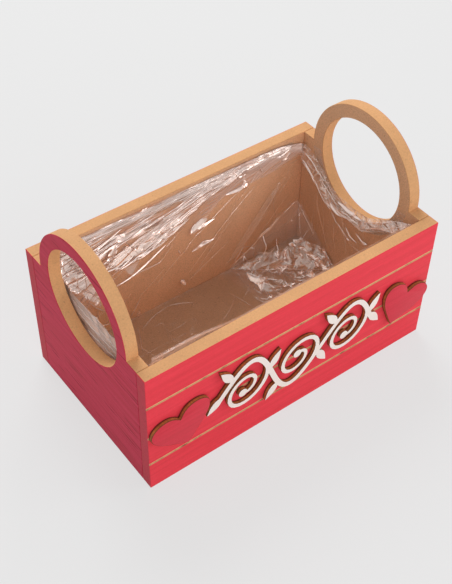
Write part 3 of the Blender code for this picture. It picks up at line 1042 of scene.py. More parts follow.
# Each glint is a painted highlight, a smooth patch of gathered film whose shading normal leans back
# to mirror the sky: the face it lies on, how bright it is, and the places of its outline.
GLINTS = (
    ("back", 0.45, -1041, 1049, -966, 983, -871, 748, -786, 531, -735, 281, -817, 375, -908, 539, -998, 667,
     -1047, 799),
    ("back", 1.00, -672, 723, -622, 758, -541, 791, -500, 768, -468, 686, -530, 678, -603, 670, -651, 683),
    ("back", 0.90, -540, 801, -508, 839, -440, 742, -384, 747, -356, 689, -444, 663, -470, 692),
    ("back", 0.75, -440, 742, -377, 771, -290, 767, -204, 706, -356, 689, -385, 733),
    ("back", 1.00, -281, 819, -237, 823, -195, 780, -158, 753, -171, 717, -209, 731, -251, 782),
    ("back", 0.95, -117, 851, -65, 880, -41, 805, -74, 779, -100, 772),
    ("back", 0.90, -671, 828, -625, 879, -589, 880, -603, 818, -640, 755, -669, 728),
    ("back", 0.80, -841, 1031, -776, 1056, -665, 1064, -618, 1059, -696, 1034, -813, 1016),
    ("back", 0.80, -777, 901, -733, 932, -690, 963, -584, 967, -555, 951, -645, 931, -718, 909, -755, 888),
    ("back", 0.95, -482, 1062, -398, 1078, -342, 1105, -259, 1068, -363, 1047, -448, 1037),
    ("back", 0.80, -530, 965, -464, 971, -343, 969, -282, 964, -338, 939, -454, 932, -514, 936),
    ("back", 0.70, -346, 902, -283, 937, -183, 948, -172, 914, -235, 885, -316, 879),
    ("back", 0.80, -704, 705, -660, 723, -634, 666, -678, 648),
    ("back", 0.28, -554, 576, -507, 644, -419, 667, -376, 653, -404, 600, -489, 517, -519, 549),
    ("back", 0.75, 46, 641, 80, 706, 147, 744, 223, 723, 156, 666, 80, 623),
    ("back", 0.60, 255, 1027, 347, 1026, 415, 993, 314, 981, 264, 988),
    ("back", 0.75, 583, 1052, 686, 1052, 774, 1033, 688, 1008, 593, 1013),
    ("back", 0.95, 565, 965, 604, 831, 529, 867, 554, 891),
    ("back", 0.90, 940, 935, 980, 1000, 1015, 998, 994, 932),
    ("back", 0.50, -31, 960, 83, 990, 156, 971, 42, 941, -15, 934),
    ("back", 0.85, 430, 1055, 465, 1030, 518, 926, 483, 960),
    ("floor", 1.00, 526, 501, 532, 453, 590, 389, 622, 355, 567, 346, 492, 261, 521, 357, 503, 430),
    ("floor", 1.00, 970, 465, 998, 440, 1032, 434, 1024, 412, 990, 424, 967, 446),
    ("floor", 0.90, 921, 463, 949, 459, 963, 440, 963, 419, 937, 443),
    ("floor", 0.90, 802, 486, 833, 486, 828, 453, 809, 448, 793, 468),
    ("floor", 0.75, 868, 460, 889, 451, 858, 408, 865, 386, 832, 421),
    ("floor", 0.80, 743, 422, 806, 401, 849, 364, 800, 352, 741, 340, 793, 374),
    ("floor", 0.85, 975, 404, 1011, 389, 992, 373, 973, 373),
    ("floor", 0.80, 1008, 337, 1052, 300, 1078, 250, 1089, 191, 1104, 154, 1068, 169, 1056, 242, 1021, 300),
    ("floor", 0.85, 869, 269, 911, 261, 904, 238, 861, 249),
    ("floor", 0.95, 935, 216, 969, 202, 974, 165, 929, 160, 920, 193),
    ("floor", 0.70, 962, 375, 979, 350, 976, 324, 965, 346),
    ("floor", 0.70, 1121, 282, 1139, 258, 1151, 206, 1137, 208, 1126, 251),
    ("floor", 0.80, 1138, 182, 1157, 171, 1156, 142, 1135, 152),
    ("floor", 0.70, 640, 644, 675, 627, 690, 595, 657, 614),
    ("floor", 0.60, 587, 656, 606, 650, 579, 596, 574, 622),
    ("floor", 0.75, 795, 268, 843, 227, 875, 183, 831, 222),
    ("floor", 0.70, 660, 230, 707, 218, 747, 199, 737, 158, 726, 193, 671, 213),
    ("floor", 0.80, 1038, 260, 1056, 242, 1050, 217, 1030, 228),
    ("floor", 0.70, 666, 541, 684, 544, 687, 526, 670, 530),
)
# The way to which each face's glints lean their shading normal, to catch the light as painted highlights
GLINT_WAY = {"back": (0.0, -1.0, 0.85), "floor": (-0.24, -0.31, 1.0)}

# A crease's milk is partly painted highlight, standing in for the glint along its fold.
# Each crease is a narrow raised fold: the face it lies on, its width, how milky it is, and
# the places it runs through.
CREASES = (
    ("back", 10, 0.95, -621, 476, -502, 503, -390, 546, -173, 658),
    ("back", 8, 0.90, -658, 593, -575, 641, -447, 673, -162, 705),
    ("back", 7, 0.80, -769, 903, -684, 947, -542, 1009),
    ("back", 9, 0.90, -838, 1030, -745, 1039, -627, 1034),
    ("back", 10, 0.90, -744, 839, -673, 870, -585, 893),
    ("back", 26, 0.50, -687, 684, -646, 764, -599, 870),
    ("back", 6, 0.60, -524, 880, -419, 704),
    ("back", 6, 0.60, -554, 830, -452, 661),
    ("back", 50, 1.00, -42, 160, -24, 175, -6, 182),
    ("front_rim", 12, 1.00, -1120, 1078, -900, 1086, -700, 1083, -500, 1087),
    ("front_rim", 9, 0.90, -560, 1084, -200, 1087, 300, 1085),
    ("front_rim", 10, 0.90, -1120, 1060, -1070, 1072, -1030, 1062),
    ("front_rim", 10, 0.80, -1090, 1068, -1050, 1055, -1010, 1070),
    ("back", 7, 0.80, -420, 228, -466, 149, -517, 77),
    ("back", 26, 0.40, -436, 96, -458, 40, -457, -43),
    ("back", 22, 0.95, 390, 863, 488, 869, 594, 879),
    ("back", 14, 0.90, 553, 906, 582, 851),
    ("back", 9, 0.90, 457, 1059, 505, 976, 577, 975),
    ("back", 10, 0.90, 503, 1037, 589, 1037, 695, 1034),
    ("back", 12, 0.90, 717, 977, 743, 917),
    ("back", 20, 0.95, 944, 946, 976, 979, 993, 1025),
    ("back", 8, 0.80, 830, 1019, 913, 987, 1007, 1032),
    ("back", 18, 0.75, 65, 635, 140, 687, 285, 676),
    ("back", 16, 0.75, 71, 444, 157, 482, 278, 480),
    ("back", 8, 0.70, 92, 470, 174, 505, 260, 478),
    ("back", 10, 0.90, -59, 534, -40, 490),
    ("back", 8, 0.90, -13, 499, -1, 474),
    ("back", 5, 0.35, -304, 252, 106, 594, 531, 852),
    ("back", 5, 0.30, 51, 142, 399, 533, 531, 834),
    ("back", 5, 0.30, -226, 589, -76, 692, 59, 874),
    ("back", 50, 0.13, 424, 129, 671, 409, 927, 732),
    ("back", 5, 0.30, 861, 616, 889, 450, 913, 360),
    ("back", 5, 0.45, -567, 503, -229, 497, -93, 628),
    ("right", 22, 1.00, 149, 765, 21, 755, -120, 765),
    ("right", 18, 0.90, 222, 715, 154, 692, 88, 679),
    ("right", 18, 0.90, 307, 664, 256, 656, 211, 624),
    ("right", 11, 0.90, 572, 858, 540, 799),
    ("right", 6, 0.70, 239, 589, 131, 521, 7, 452),
    ("right", 13, 0.90, 33, 462, 0, 455),
    ("right", 9, 0.80, 55, 562, -9, 508, -84, 491),
    ("right", 8, 0.80, -56, 572, -139, 547, -193, 556),
    ("right", 18, 0.90, -133, 535, -186, 550),
    ("right", 4, 0.45, 130, 508, 165, 334, 202, 154),
    ("right", 4, 0.35, 447, 645, 333, 390, 202, 154),
    ("right", 4, 0.35, 4, 425, -141, 431),
    ("right", 8, 0.70, -123, 755, -316, 881, -547, 1054),
    ("right", 8, 0.60, -160, 719, -337, 842, -528, 1001),
    ("back", 8, 0.90, 961, 359, 888, 303, 823, 255),
    ("back", 6, 0.60, 1125, 448, 1021, 392, 959, 355),
    ("back", 7, 0.70, 934, 335, 860, 287, 736, 215),
    ("back", 4, 0.40, 1125, 444, 1089, 352, 1032, 239),
    ("back", 4, 0.40, 1125, 444, 1125, 352, 1125, 239),
    ("back", 9, 0.80, 1007, 319, 1032, 331),
    ("floor", 7, 0.70, 529, 564, 538, 538, 557, 554),
    ("floor", 5, 0.50, 443, 617, 415, 451, 391, 258),
    ("floor", 16, 1.00, 936, 471, 986, 445, 1005, 412),
    ("floor", 10, 0.90, 1000, 450, 1016, 412, 1002, 390),
    ("floor", 12, 0.90, 796, 490, 812, 464, 789, 451),
    ("floor", 10, 0.90, 851, 450, 854, 398, 832, 385),
    ("floor", 10, 0.90, 1065, 295, 1097, 220, 1125, 144),
    ("floor", 8, 0.80, 1064, 299, 1096, 213, 1117, 138),
    ("floor", 8, 0.70, 1033, 289, 1049, 223, 1055, 160),
    ("floor", 10, 0.90, 523, 513, 567, 437, 618, 344),
    ("floor", 16, 0.90, 494, 265, 543, 314, 611, 349),
    ("floor", 45, 0.35, -455, 682, -498, 581, -535, 503),
    ("floor", 9, 0.50, -517, 530, -573, 403, -625, 303),
    ("floor", 8, 0.80, 824, 489, 800, 467, 818, 444),
    ("floor", 16, 0.90, 956, 403, 988, 390, 1016, 330),
    ("floor", 10, 0.90, 1037, 286, 1059, 200, 1066, 156),
    ("floor", 14, 0.90, 918, 224, 915, 186, 931, 135),
    ("floor", 16, 0.80, 882, 269, 870, 219, 887, 187),
    ("floor", 12, 0.80, 708, 356, 775, 386, 836, 373),
    ("floor", 9, 0.60, 438, 630, 426, 521, 432, 400),
    ("floor", 9, 0.60, 432, 400, 456, 287, 425, 177),
    ("back", 8, 0.90, 562, 177, 592, 130, 580, 58),
    ("back", 12, 0.90, 723, 227, 771, 262, 856, 293),
    ("back", 10, 0.90, 815, 254, 884, 309, 931, 359),
    ("floor", 16, 0.90, 897, 199, 929, 185, 932, 154),
    ("floor", 10, 0.80, 795, 233, 829, 170, 914, 167),
    ("floor", 8, 0.70, 711, 236, 734, 123, 799, 134),
    ("floor", 5, 0.40, -21, 494, -130, 355, -241, 197),
    ("floor", 5, 0.40, -193, 585, -102, 546, -21, 494),
    ("floor", 4, 0.35, -504, 493, -349, 555, -193, 585),
    ("floor", 4, 0.30, -422, 460, -334, 463, -372, 215),
    ("back", 7, 0.70, 732, 215, 617, 150, 438, 46),
    ("back", 8, 0.80, 590, 150, 592, 122, 562, 86),
    ("back", 8, 0.80, 654, 166, 674, 170, 676, 150),
    ("back", 9, 0.80, -1001, 953, -945, 862, -864, 734),
    ("back", 6, 0.70, -1019, 953, -1037, 894, -1013, 830),
    ("back", 16, 0.90, -1019, 833, -1009, 807, -996, 815),
    ("back", 6, 0.60, -944, 871, -981, 842, -995, 820),
    ("back", 6, 0.60, -869, 726, -873, 635, -899, 544),
    ("back", 6, 0.55, -929, 771, -940, 695, -936, 609),
    ("back", 6, 0.55, -992, 726, -902, 600, -807, 489),
    ("back", 6, 0.55, -916, 639, -854, 560, -777, 428),
    ("back", 24, 0.90, -922, 483, -883, 524, -870, 473),
    ("back", 8, 0.80, -871, 463, -818, 365, -740, 273),
    ("back", 7, 0.70, -794, 328, -803, 267, -794, 216),
    ("back", 8, 0.80, -773, 135, -737, 129, -702, 107),
    ("left", 12, 0.80, 423, 995, 336, 992, 235, 958),
    ("left", 10, 0.80, 349, 912, 193, 884, 9, 893),
    ("left", 10, 0.75, 235, 958, 52, 955, -201, 971),
    ("left", 14, 0.80, 248, 786, 130, 777, -35, 842),
    ("left", 9, 0.75, 184, 677, 29, 744, -159, 812),
    ("left", 9, 0.75, 141, 694, -19, 715, -178, 758),
)
CREASE_STEP = 0.0011
CREASE_LIFT = 0.0002
WALL_SLOPE = 0.85
FLOOR_SLOPE = 0.45
RIDGE_AT = -0.6


def subdivide_along(made, axis, cuts):
    """Cuts every edge that runs along an axis into equal lengths."""

    def runs_along(edge):
        way = (edge.verts[1].co - edge.verts[0].co).normalized()
        return abs(way[axis]) > 0.999

    pick(made, "EDGE", runs_along)
    bpy.ops.mesh.subdivide(number_cuts=cuts)


def film_tray():
    """The tray that the film lines, open at the top, with rounded corners and fine faces."""
    made = start_block("clear_film", FILM_LOW, FILM_HIGH)
    edit(made)
    pick(made, "FACE", lambda f: f.normal.z > 0.9)
    bpy.ops.mesh.delete(type="FACE")
    pick(made, "EDGE", lambda e: abs(e.verts[0].co.z - e.verts[1].co.z) > 0.01)
    bpy.ops.mesh.bevel(offset=CORNER_ROUND, segments=5, affect="EDGES")
    foot = FILM_LOW.z + 1e-4
    at_foot = lambda e: max(v.co.z for v in e.verts) < foot
    beside_wall = lambda e: any(abs(f.normal.z) < 0.5 for f in e.link_faces)
    pick(made, "EDGE", lambda e: at_foot(e) and beside_wall(e))
    bpy.ops.mesh.bevel(offset=FOOT_ROUND, segments=3, affect="EDGES")
    for axis, cuts in ((0, (12, 12)), (1, (8, 8)), (2, (8, 8))):
        for count in cuts:
            subdivide_along(made, axis, count)

    def crumples(face):
        middle = face.calc_center_median()
        top = CORNER_TOP if middle.y > CORNER_FROM else FINE_TOP
        return middle.x + CRUMPLE_SLANT * middle.y > FINE_LEFT and middle.z < top

    pick(made, "FACE", crumples)
    bpy.ops.mesh.subdivide(number_cuts=1)
    bpy.ops.mesh.select_all(action="SELECT")
    bpy.ops.mesh.flip_normals()
    bpy.ops.object.mode_set(mode="OBJECT")
    return made


def read_vectors(items, key):
    flat = np.empty(len(items) * 3, np.float32)
    items.foreach_get(key, flat)
    return flat.reshape(-1, 3).astype(float)


def write_points(made, points):
    made.data.vertices.foreach_set("co", points.astype(np.float32).ravel())
    made.data.update()


def write_values(made, name, values, kind="FLOAT", key="value"):
    made.data.attributes.new(name, kind, "POINT")
    made.data.attributes[name].data.foreach_set(key, values.astype(np.float32).ravel())


def smooth_step(value):
    t = np.clip(value, 0, 1)
    return t * t * (3 - 2 * t)


def eased(made, values, rounds):
    """The values at the points, each drawn towards its neighbours' mean a few times."""
    flat = np.empty(len(made.data.edges) * 2, np.int32)
    made.data.edges.foreach_get("vertices", flat)
    a, b = flat.reshape(-1, 2).T
    size = len(values)
    count = np.bincount(a, minlength=size) + np.bincount(b, minlength=size)
    for _ in range(rounds):
        total = np.bincount(a, values[b], size) + np.bincount(b, values[a], size)
        values = 0.4 * values + 0.6 * total / count
    return values


def wander(places, rng, size, swing):
    """The places, each moved a little by slow random waves, so that straight folds bend."""
    moved = places.copy()
    for _ in range(6):
        turn, phase = rng.uniform(0, 2 * math.pi, 2)
        wave = size * rng.uniform(0.6, 1.6)
        travel = places @ np.array((math.cos(turn), math.sin(turn))) * 2 * math.pi / wave
        push = rng.normal(0, swing / 2, 2)
        moved += np.sin(travel + phase)[:, None] * push
    return moved


def fold_height(places, folds):
    """The height of a set of folds."""
    heights = np.zeros(len(places))
    for start, end, left, right, height in folds:
        start, end = np.array(start), np.array(end)
        way = end - start
        reach = np.linalg.norm(way)
        way /= reach
        out = places - start
        along = np.clip(out @ way, 0, reach)
        away = np.linalg.norm(out - along[:, None] * way, axis=1)
        on_left = way[0] * out[:, 1] - way[1] * out[:, 0] > 0
        width = np.where(on_left, left, right)
        taper = 1 - (2 * along / reach - 1) ** 4 * 0.6
        heights = np.maximum(heights, height * taper * np.clip(1 - away / width, 0, None))
    return heights


def loose_folds(rng, count, low, high, way, swing, sizes, heights):
    """Folds strewn over a rectangle, each turned from the given way by up to the swing."""
    folds = []
    for _ in range(count):
        middle = rng.uniform(metres(*low), metres(*high))
        turn = math.radians(way) + rng.uniform(-swing, swing)
        reach = rng.uniform(*metres(*sizes)) / 2
        step = np.array((math.cos(turn), math.sin(turn))) * reach
        height = rng.uniform(*metres(*heights))
        left, right = height * rng.uniform(1.5, 3.0, 2)
        folds.append((middle - step, middle + step, left, right, height))
    return folds


def pleated_from(x):
    """The height from which the back wall's film lies in pleats, at each place along X."""
    across, up = zip(*PLEATED_FROM)
    return np.interp(x, across, up)


def fan_places(places):
    """Each place on the back wall as its distance from the fan's point and its turn there."""
    before = (FAN_POINT[0] - places[:, 0]) / FAN_ROUND
    before = np.logaddexp(0, before) * FAN_ROUND
    below = FAN_POINT[1] - places[:, 1]
    return np.hypot(before, below), np.arctan2(below, before)


def facet_heights(places, low, high, step, height, rng):
    """Heights of a crumpled sheet: flat three-sided facets between strewn corners."""
    columns = np.arange(low[0] - step, high[0] + 2 * step, step)
    rows = np.arange(low[1] - step, high[1] + 2 * step, step)
    corners = [Vector((x, y)) + Vector(rng.uniform(-0.42, 0.42, 2) * step) for x in columns for y in rows]
    lifts = rng.uniform(0, 1, len(corners)) ** 1.3 * height
    found, _, triangles, order, _, _ = delaunay_2d_cdt(corners, [], [], 0, 1e-7)
    heights = np.zeros(len(places))
    for triangle in triangles:
        a, b, c = (np.array(found[i]) for i in triangle)
        lift = [lifts[order[i][0]] for i in triangle]
        matrix = np.linalg.inv(np.array((b - a, c - a)).T)
        shares = (places - a) @ matrix.T
        third = 1 - shares[:, 0] - shares[:, 1]
        inside = (shares[:, 0] >= 0) & (shares[:, 1] >= 0) & (third >= 0)
        level = third * lift[0] + shares[:, 0] * lift[1] + shares[:, 1] * lift[2]
        heights[inside] = level[inside]
    return heights


def traced(curve, places):
    """The height of a traced curve at each place, with its corners softened."""
    across, up = zip(*curve)
    return np.mean([np.interp(places + step, across, up) for step in np.linspace(-0.005, 0.005, 9)], axis=0)


def right_rim(y):
    """The rim's height on the right end, where it follows the hand hole."""
    return traced(RIGHT_RIM, y)


def left_rim(y):
    """The rim's height on the left end, where it crosses the hand hole."""
    return RIM_LEFT + (RIM_CORNER - RIM_LEFT) * smooth_step((np.abs(y) - 0.036) / 0.026)


def lower_rims(points):
    """Brings the film's edge to the height that it has on each wall."""
    half_length = FILM_HIGH.x
    at_end = smooth_step((np.abs(points[:, 0]) - half_length + CORNER_ROUND) / CORNER_ROUND)
    end_rim = np.where(points[:, 0] > 0, right_rim(points[:, 1]), left_rim(points[:, 1]))
    long_rim = np.where(points[:, 1] > 0, traced(BACK_RIM, points[:, 0]), RIM_BACK)
    rim = long_rim + (end_rim - long_rim) * at_end
    up = (points[:, 2] - FILM_LOW.z) / (FILM_HIGH.z - FILM_LOW.z)
    points[:, 2] = FILM_LOW.z + up * (rim - FILM_LOW.z)
    return rim


def press_behind(points, corners):
    """Draws every point beyond the plane through three corners onto that plane."""
    a, b, c = (np.array(corner) for corner in corners)
    normal = np.cross(b - a, c - a)
    normal /= np.linalg.norm(normal)
    if normal @ (np.array((0, 0, 0.08)) - a) < 0:
        normal = -normal
    beyond = np.minimum((points - a) @ normal, 0)
    points -= beyond[:, None] * normal
    return beyond < 0, normal


def within(places, outline):
    """Which places lie inside a closed outline."""
    x, y = places.T
    inside = np.zeros(len(places), bool)
    for (ax, ay), (bx, by) in zip(outline, (*outline[1:], outline[0])):
        if ay != by:
            crosses = (ay > y) != (by > y)
            inside ^= crosses & (x < ax + (y - ay) * (bx - ax) / (by - ay))
    return inside


def mark_glints(made, spots, shares, inward):
    """Marks the painted highlights, smooth patches whose shading normal leans to catch the light, and how
    they lean; returns the marks.
    """
    glint = np.zeros(len(inward))
    lean = np.zeros_like(inward)
    for face, strength, *outline in GLINTS:
        patch = eased(made, within(spots[face], places(*outline)) * shares[face], 1)
        brighter = patch * strength > glint
        glint[brighter] = (patch * strength)[brighter]
        lean[brighter] = ((GLINT_WAY[face] - inward) * patch[:, None])[brighter]
    write_values(made, "glint", glint)
    write_values(made, "glint_lean", lean, "FLOAT_VECTOR", "vector")
    return glint


def facing(inward, axis, sign):
    """How fully each point belongs to the wall that faces along an axis, from 0 to 1."""
    return smooth_step((inward[:, axis] * sign - 0.6) / 0.3)


# Folds strewn over a face: how many, the rectangle they lie in, their way and how far it swings
# in degrees and radians, their lengths and their heights
LOOSE_FOLDS = {
    "back": (16, (-1100, 100), (1100, 800), 38, 0.4, (300, 800), (3, 8)),
    "floor_left": (20, (-1100, -600), (400, 600), 0, math.pi, (200, 700), (3, 10)),
    "floor_right": (60, (450, -600), (1100, 600), 0, math.pi, (60, 240), (6, 20)),
    "corner": (12, (400, 0), (1100, 450), 35, 0.8, (100, 300), (5, 14)),
    "ends": (40, (-600, 100), (600, 1000), 90, 1.0, (150, 500), (4, 14)),
    "front": (24, (-1100, 100), (1100, 1000), 0, 0.6, (300, 800), (4, 16)),
}
SEED = 11
FOLD_BEND = 0.0010  # how far slow waves push straight folds aside
FINE_BEND = 0.0009
RIM_FACETS = ((0.007, 0.0014), (0.0036, 0.0010))  # the size and height of large and small facets
BAND_BLUR = 0.003  # over what depth a band ends
LEFT_BAND, BACK_BAND, FRONT_BAND = 0.026, 0.0085, 0.0070  # how far below the rim each band reaches
FRONT_LEAN = 0.0024  # how far the front's rim stands off the board
FRONT_LEAN_LEFT = 0.0036  # and how much more at its left
# The milk of each glued and layered band also lightens it as painted light.
HAZE_ALL, HAZE_MOST = 0.03, 2.4
HAZE_LEFT, HAZE_BACK, HAZE_FRONT = 2.3, 0.95, 0.60  # how milky each glued band is
# Beside the left hand hole the milk only lightens the wall seen through the hole: painted light.
HAZE_LAYERED, PAINTED_LIGHT_BESIDE_HOLE, HAZE_CRUMPLED = 0.62, 0.46, 0.30


class Film:
    """The film's points while it is shaped, and how fully each one belongs to each face."""

    def __init__(self, made):
        self.made = made
        self.rng = np.random.default_rng(SEED)
        self.points = read_vectors(made.data.vertices, "co")
        self.inward = read_vectors(made.data.vertex_normals, "vector")
        rim = lower_rims(self.points)
        self.pressed, facet_normal = press_behind(self.points, CORNER_FACET)
        self.below_rim = rim - self.points[:, 2]
        self.back, self.front = facing(self.inward, 1, -1), facing(self.inward, 1, 1)
        self.right, self.left = facing(self.inward, 0, -1), facing(self.inward, 0, 1)
        self.floor = facing(self.inward, 2, 1)
        self.inward[self.pressed] = facet_normal
        self.wall = self.points[:, (0, 2)]
        self.end_wall = self.points[:, (1, 2)]
        self.ground = self.points[:, (0, 1)]

    def strewn(self, name):
        return loose_folds(self.rng, *LOOSE_FOLDS[name])


def fold_back(film):
    """The lift of the back wall's folds; also finds where the film is pleated."""
    film.bent_wall = wander(film.wall, film.rng, 0.035, FINE_BEND)
    film.far, film.turn = fan_places(film.bent_wall)
    above = film.bent_wall[:, 1] - pleated_from(film.bent_wall[:, 0])
    film.pleated = film.back * smooth_step((above + 0.0010) / 0.0020)
    return film.back * fold_height(film.bent_wall, [*WALL_FOLDS, *film.strewn("back")])


def fold_floor(film):
    """The lift of the floor's folds and of the heap at the right, which it also finds."""
    bent = wander(film.ground, film.rng, 0.03, FOLD_BEND)
    strewn = film.strewn("floor_left") + film.strewn("floor_right")
    crumpled = smooth_step((bent[:, 0] - CRUMPLE_LEFT + CRUMPLE_SLANT * film.ground[:, 1]) / 0.010)
    under_top = smooth_step((traced(CRUMPLE_TOP, film.points[:, 0]) - film.points[:, 2]) / 0.003)
    film.crumpled = crumpled * np.where(film.pressed, under_top, film.floor)
    facets = sum(
        facet_heights(bent, (0.03, -0.065), (0.118, 0.068), step, height, film.rng)
        for step, height in CRUMPLES
    )
    flat_floor = film.floor * (~film.pressed)
    lift = flat_floor * fold_height(bent, FLOOR_FOLDS)
    loose = np.maximum(flat_floor, film.crumpled) * fold_height(bent, strewn)
    lift += np.maximum(loose, facets * film.crumpled)
    return lift + film.pressed * fold_height(film.bent_wall, film.strewn("corner"))


def fold_ends_and_front(film):
    """The lift of the folds on the end walls and the front, whose rim leans inward."""
    bent = wander(film.end_wall, film.rng, 0.03, FOLD_BEND)
    lift = (film.left + film.right) * fold_height(bent, film.strewn("ends"))
    lift += film.front * fold_height(film.bent_wall, film.strewn("front"))
    lean = FRONT_LEAN + FRONT_LEAN_LEFT * smooth_step((-0.045 - film.points[:, 0]) / 0.035)
    return lift + lean * np.exp(-film.below_rim / 0.009) * film.front


def band_along_rim(film):
    """The lift of the gathered, glued bands along the rim, which it also finds."""
    x, y, z = film.points.T
    ruffled = wander(np.stack((x + y, film.below_rim), 1), film.rng, 0.03, FINE_BEND)
    depth = ruffled[:, 1]
    down_band = depth / np.maximum(right_rim(y) - traced(RIGHT_FOOT, y), 0.004)
    film.right_band = smooth_step((1.0 - down_band) / 0.15) * film.right
    film.left_band = smooth_step((LEFT_BAND - depth) / BAND_BLUR) * film.left
    back_share = 0.15 + 0.85 * smooth_step((x - 0.02) / 0.07)
    film.back_band = smooth_step((BACK_BAND - depth) / BAND_BLUR) * film.back * back_share
    film.front_band = smooth_step((FRONT_BAND - depth) / BAND_BLUR) * film.front
    layered = smooth_step((z - traced(BACK_FOOT, film.bent_wall[:, 0])) / 0.0025)
    film.layered = layered * film.back * smooth_step((x + 0.005) / 0.04)
    film.beside_hole = film.back * smooth_step((-0.080 - x) / 0.012)
    facets = sum(
        facet_heights(ruffled, (-0.19, -0.004), (0.19, 0.03), step, height, film.rng)
        for step, height in RIM_FACETS
    )
    bulge = film.right * BAND_BULGE * np.interp(down_band, (0.0, 0.6, 0.8, 1.1), (0.0, 1.0, 1.0, 0.0))
    return bulge + np.maximum(0.6 * film.right_band + 0.6 * film.left_band, 0.5 * film.back_band) * facets


def mark_looks(film, bends):
    """Marks where the film is creased, milky, pleated and crinkled, and how its pleats lie; the milk is
    partly painted light.
    """
    x, y = film.wall[:, 0], film.points[:, 1]
    left_share = smooth_step((0.055 - x) / 0.09)
    left_share *= 1 - 2.2 * smooth_step((-0.090 - x) / 0.012)
    near_front = smooth_step((0.010 - y) / 0.03)
    haze_and_painted_light = HAZE_ALL + (0.18 + 0.30 * near_front) * film.right_band + HAZE_LEFT * film.left_band
    haze_and_painted_light += HAZE_BACK * film.back_band + HAZE_FRONT * film.front_band + HAZE_LAYERED * film.layered
    haze_and_painted_light += PAINTED_LIGHT_BESIDE_HOLE * film.beside_hole + HAZE_CRUMPLED * film.crumpled
    sharp = np.clip((bends - 0.3) / 0.8, 0, 1) * film.crumpled
    bands = 0.25 * near_front * film.right_band + 0.3 * film.left_band
    at_end = film.right + film.left > 0.5
    marks = {
        "crease": eased(film.made, sharp, 1) * 0.5,
        "haze_and_painted_light": np.clip(haze_and_painted_light, 0, HAZE_MOST),
        "pleated": film.pleated * (0.75 + 0.25 * left_share) + bands,
        "crumpled": film.crumpled,
        "along": np.where(at_end, END_STRETCH + (0.4 + 0.8 * film.right) * y, film.far),
        "across": np.where(at_end, film.below_rim + 0.55 * film.right * y, film.turn * FAN_SPREAD),
        "crinkled": film.right_band * (1.5 - 0.9 * near_front),
    }
    for name, values in marks.items():
        write_values(film.made, name, values)


def crumple(made):
    """Gives the tray the film's edge, facets and folds, and marks where it is milky, which is partly
    painted light.
    """
    film = Film(made)
    lift = fold_back(film)
    lift += fold_floor(film)
    lift += fold_ends_and_front(film)
    lift += band_along_rim(film)
    spots = {"back": film.wall, "floor": film.ground}
    shares = {"back": film.back, "floor": np.maximum(film.floor, film.crumpled)}
    glint = mark_glints(made, spots, shares, film.inward)
    lift *= 1 - 0.7 * np.minimum(glint * film.crumpled * 1.5, 1)
    bends = bend_at_points(made, film.points + film.inward * lift[:, None])
    crisp = np.maximum(film.crumpled, 0.9 * film.right_band)
    film.points += film.inward * (eased(made, lift, 2) * (1 - crisp) + lift * crisp)[:, None]
    film.points[:, 2] = np.maximum(film.points[:, 2], FILM_LOW.z)
    write_points(made, film.points)
    mark_looks(film, bends)
    drawn = [(face, width / TENTHS, milk_and_painted_light, places(*numbers)) for face, width, milk_and_painted_light, *numbers in CREASES]
    crease_strips(made, [*drawn, *strewn_creases(film.rng)])


def bend_at_points(made, points):
    """The sharpest angle between faces that meet at each point, with the points moved."""
    shape = bmesh.new()
    shape.from_mesh(made.data)
    for vert, place in zip(shape.verts, points):
        vert.co = place
    shape.normal_update()
    bends = np.zeros(len(shape.verts))
    for edge in shape.edges:
        turn = edge.calc_face_angle(0.0)
        for vert in edge.verts:
            bends[vert.index] = max(bends[vert.index], turn)
    shape.free()
    return bends


def bowed(middle, turn, reach, bow):
    """Three points of a line through a middle, bowed aside by a distance."""
    way = np.array((math.cos(turn), math.sin(turn)))
    aside = np.array((-way[1], way[0])) * bow
    return middle - way * reach / 2, middle + aside, middle + way * reach / 2


# Their milk is partly painted highlight, like that of the creases above.
# Creases strewn over a face: the face, how many, the rectangle they lie in, their way and how far
# it swings in degrees, their lengths, how bowed they are, their widths and how milky they are
STREWN = (
    ("floor", 260, (460, -620), (1130, 620), 0, 180, (30, 110), 0.25, (3, 12), (0.3, 0.9)),
    ("floor", 24, (-1100, -620), (500, 620), 20, 90, (150, 600), 0.06, (3, 5), (0.2, 0.4)),
    ("floor", 12, (300, -620), (550, 620), 90, 60, (100, 300), 0.2, (4, 7), (0.3, 0.6)),
    ("back", 10, (500, 40), (1120, 200), 25, 40, (80, 200), 0.2, (4, 9), (0.5, 0.9)),
    ("back", 26, (-1100, 100), (1000, 850), 42, 16, (300, 800), 0.04, (3, 5), (0.15, 0.35)),
    ("right", 18, (-600, 120), (600, 700), 95, 25, (200, 600), 0.05, (3, 5), (0.15, 0.4)),
    ("left", 18, (-600, 120), (600, 900), 95, 50, (200, 500), 0.08, (3, 7), (0.2, 0.6)),
    ("front", 30, (-1100, 100), (1100, 950), 0, 40, (200, 700), 0.08, (3, 6), (0.2, 0.5)),
)


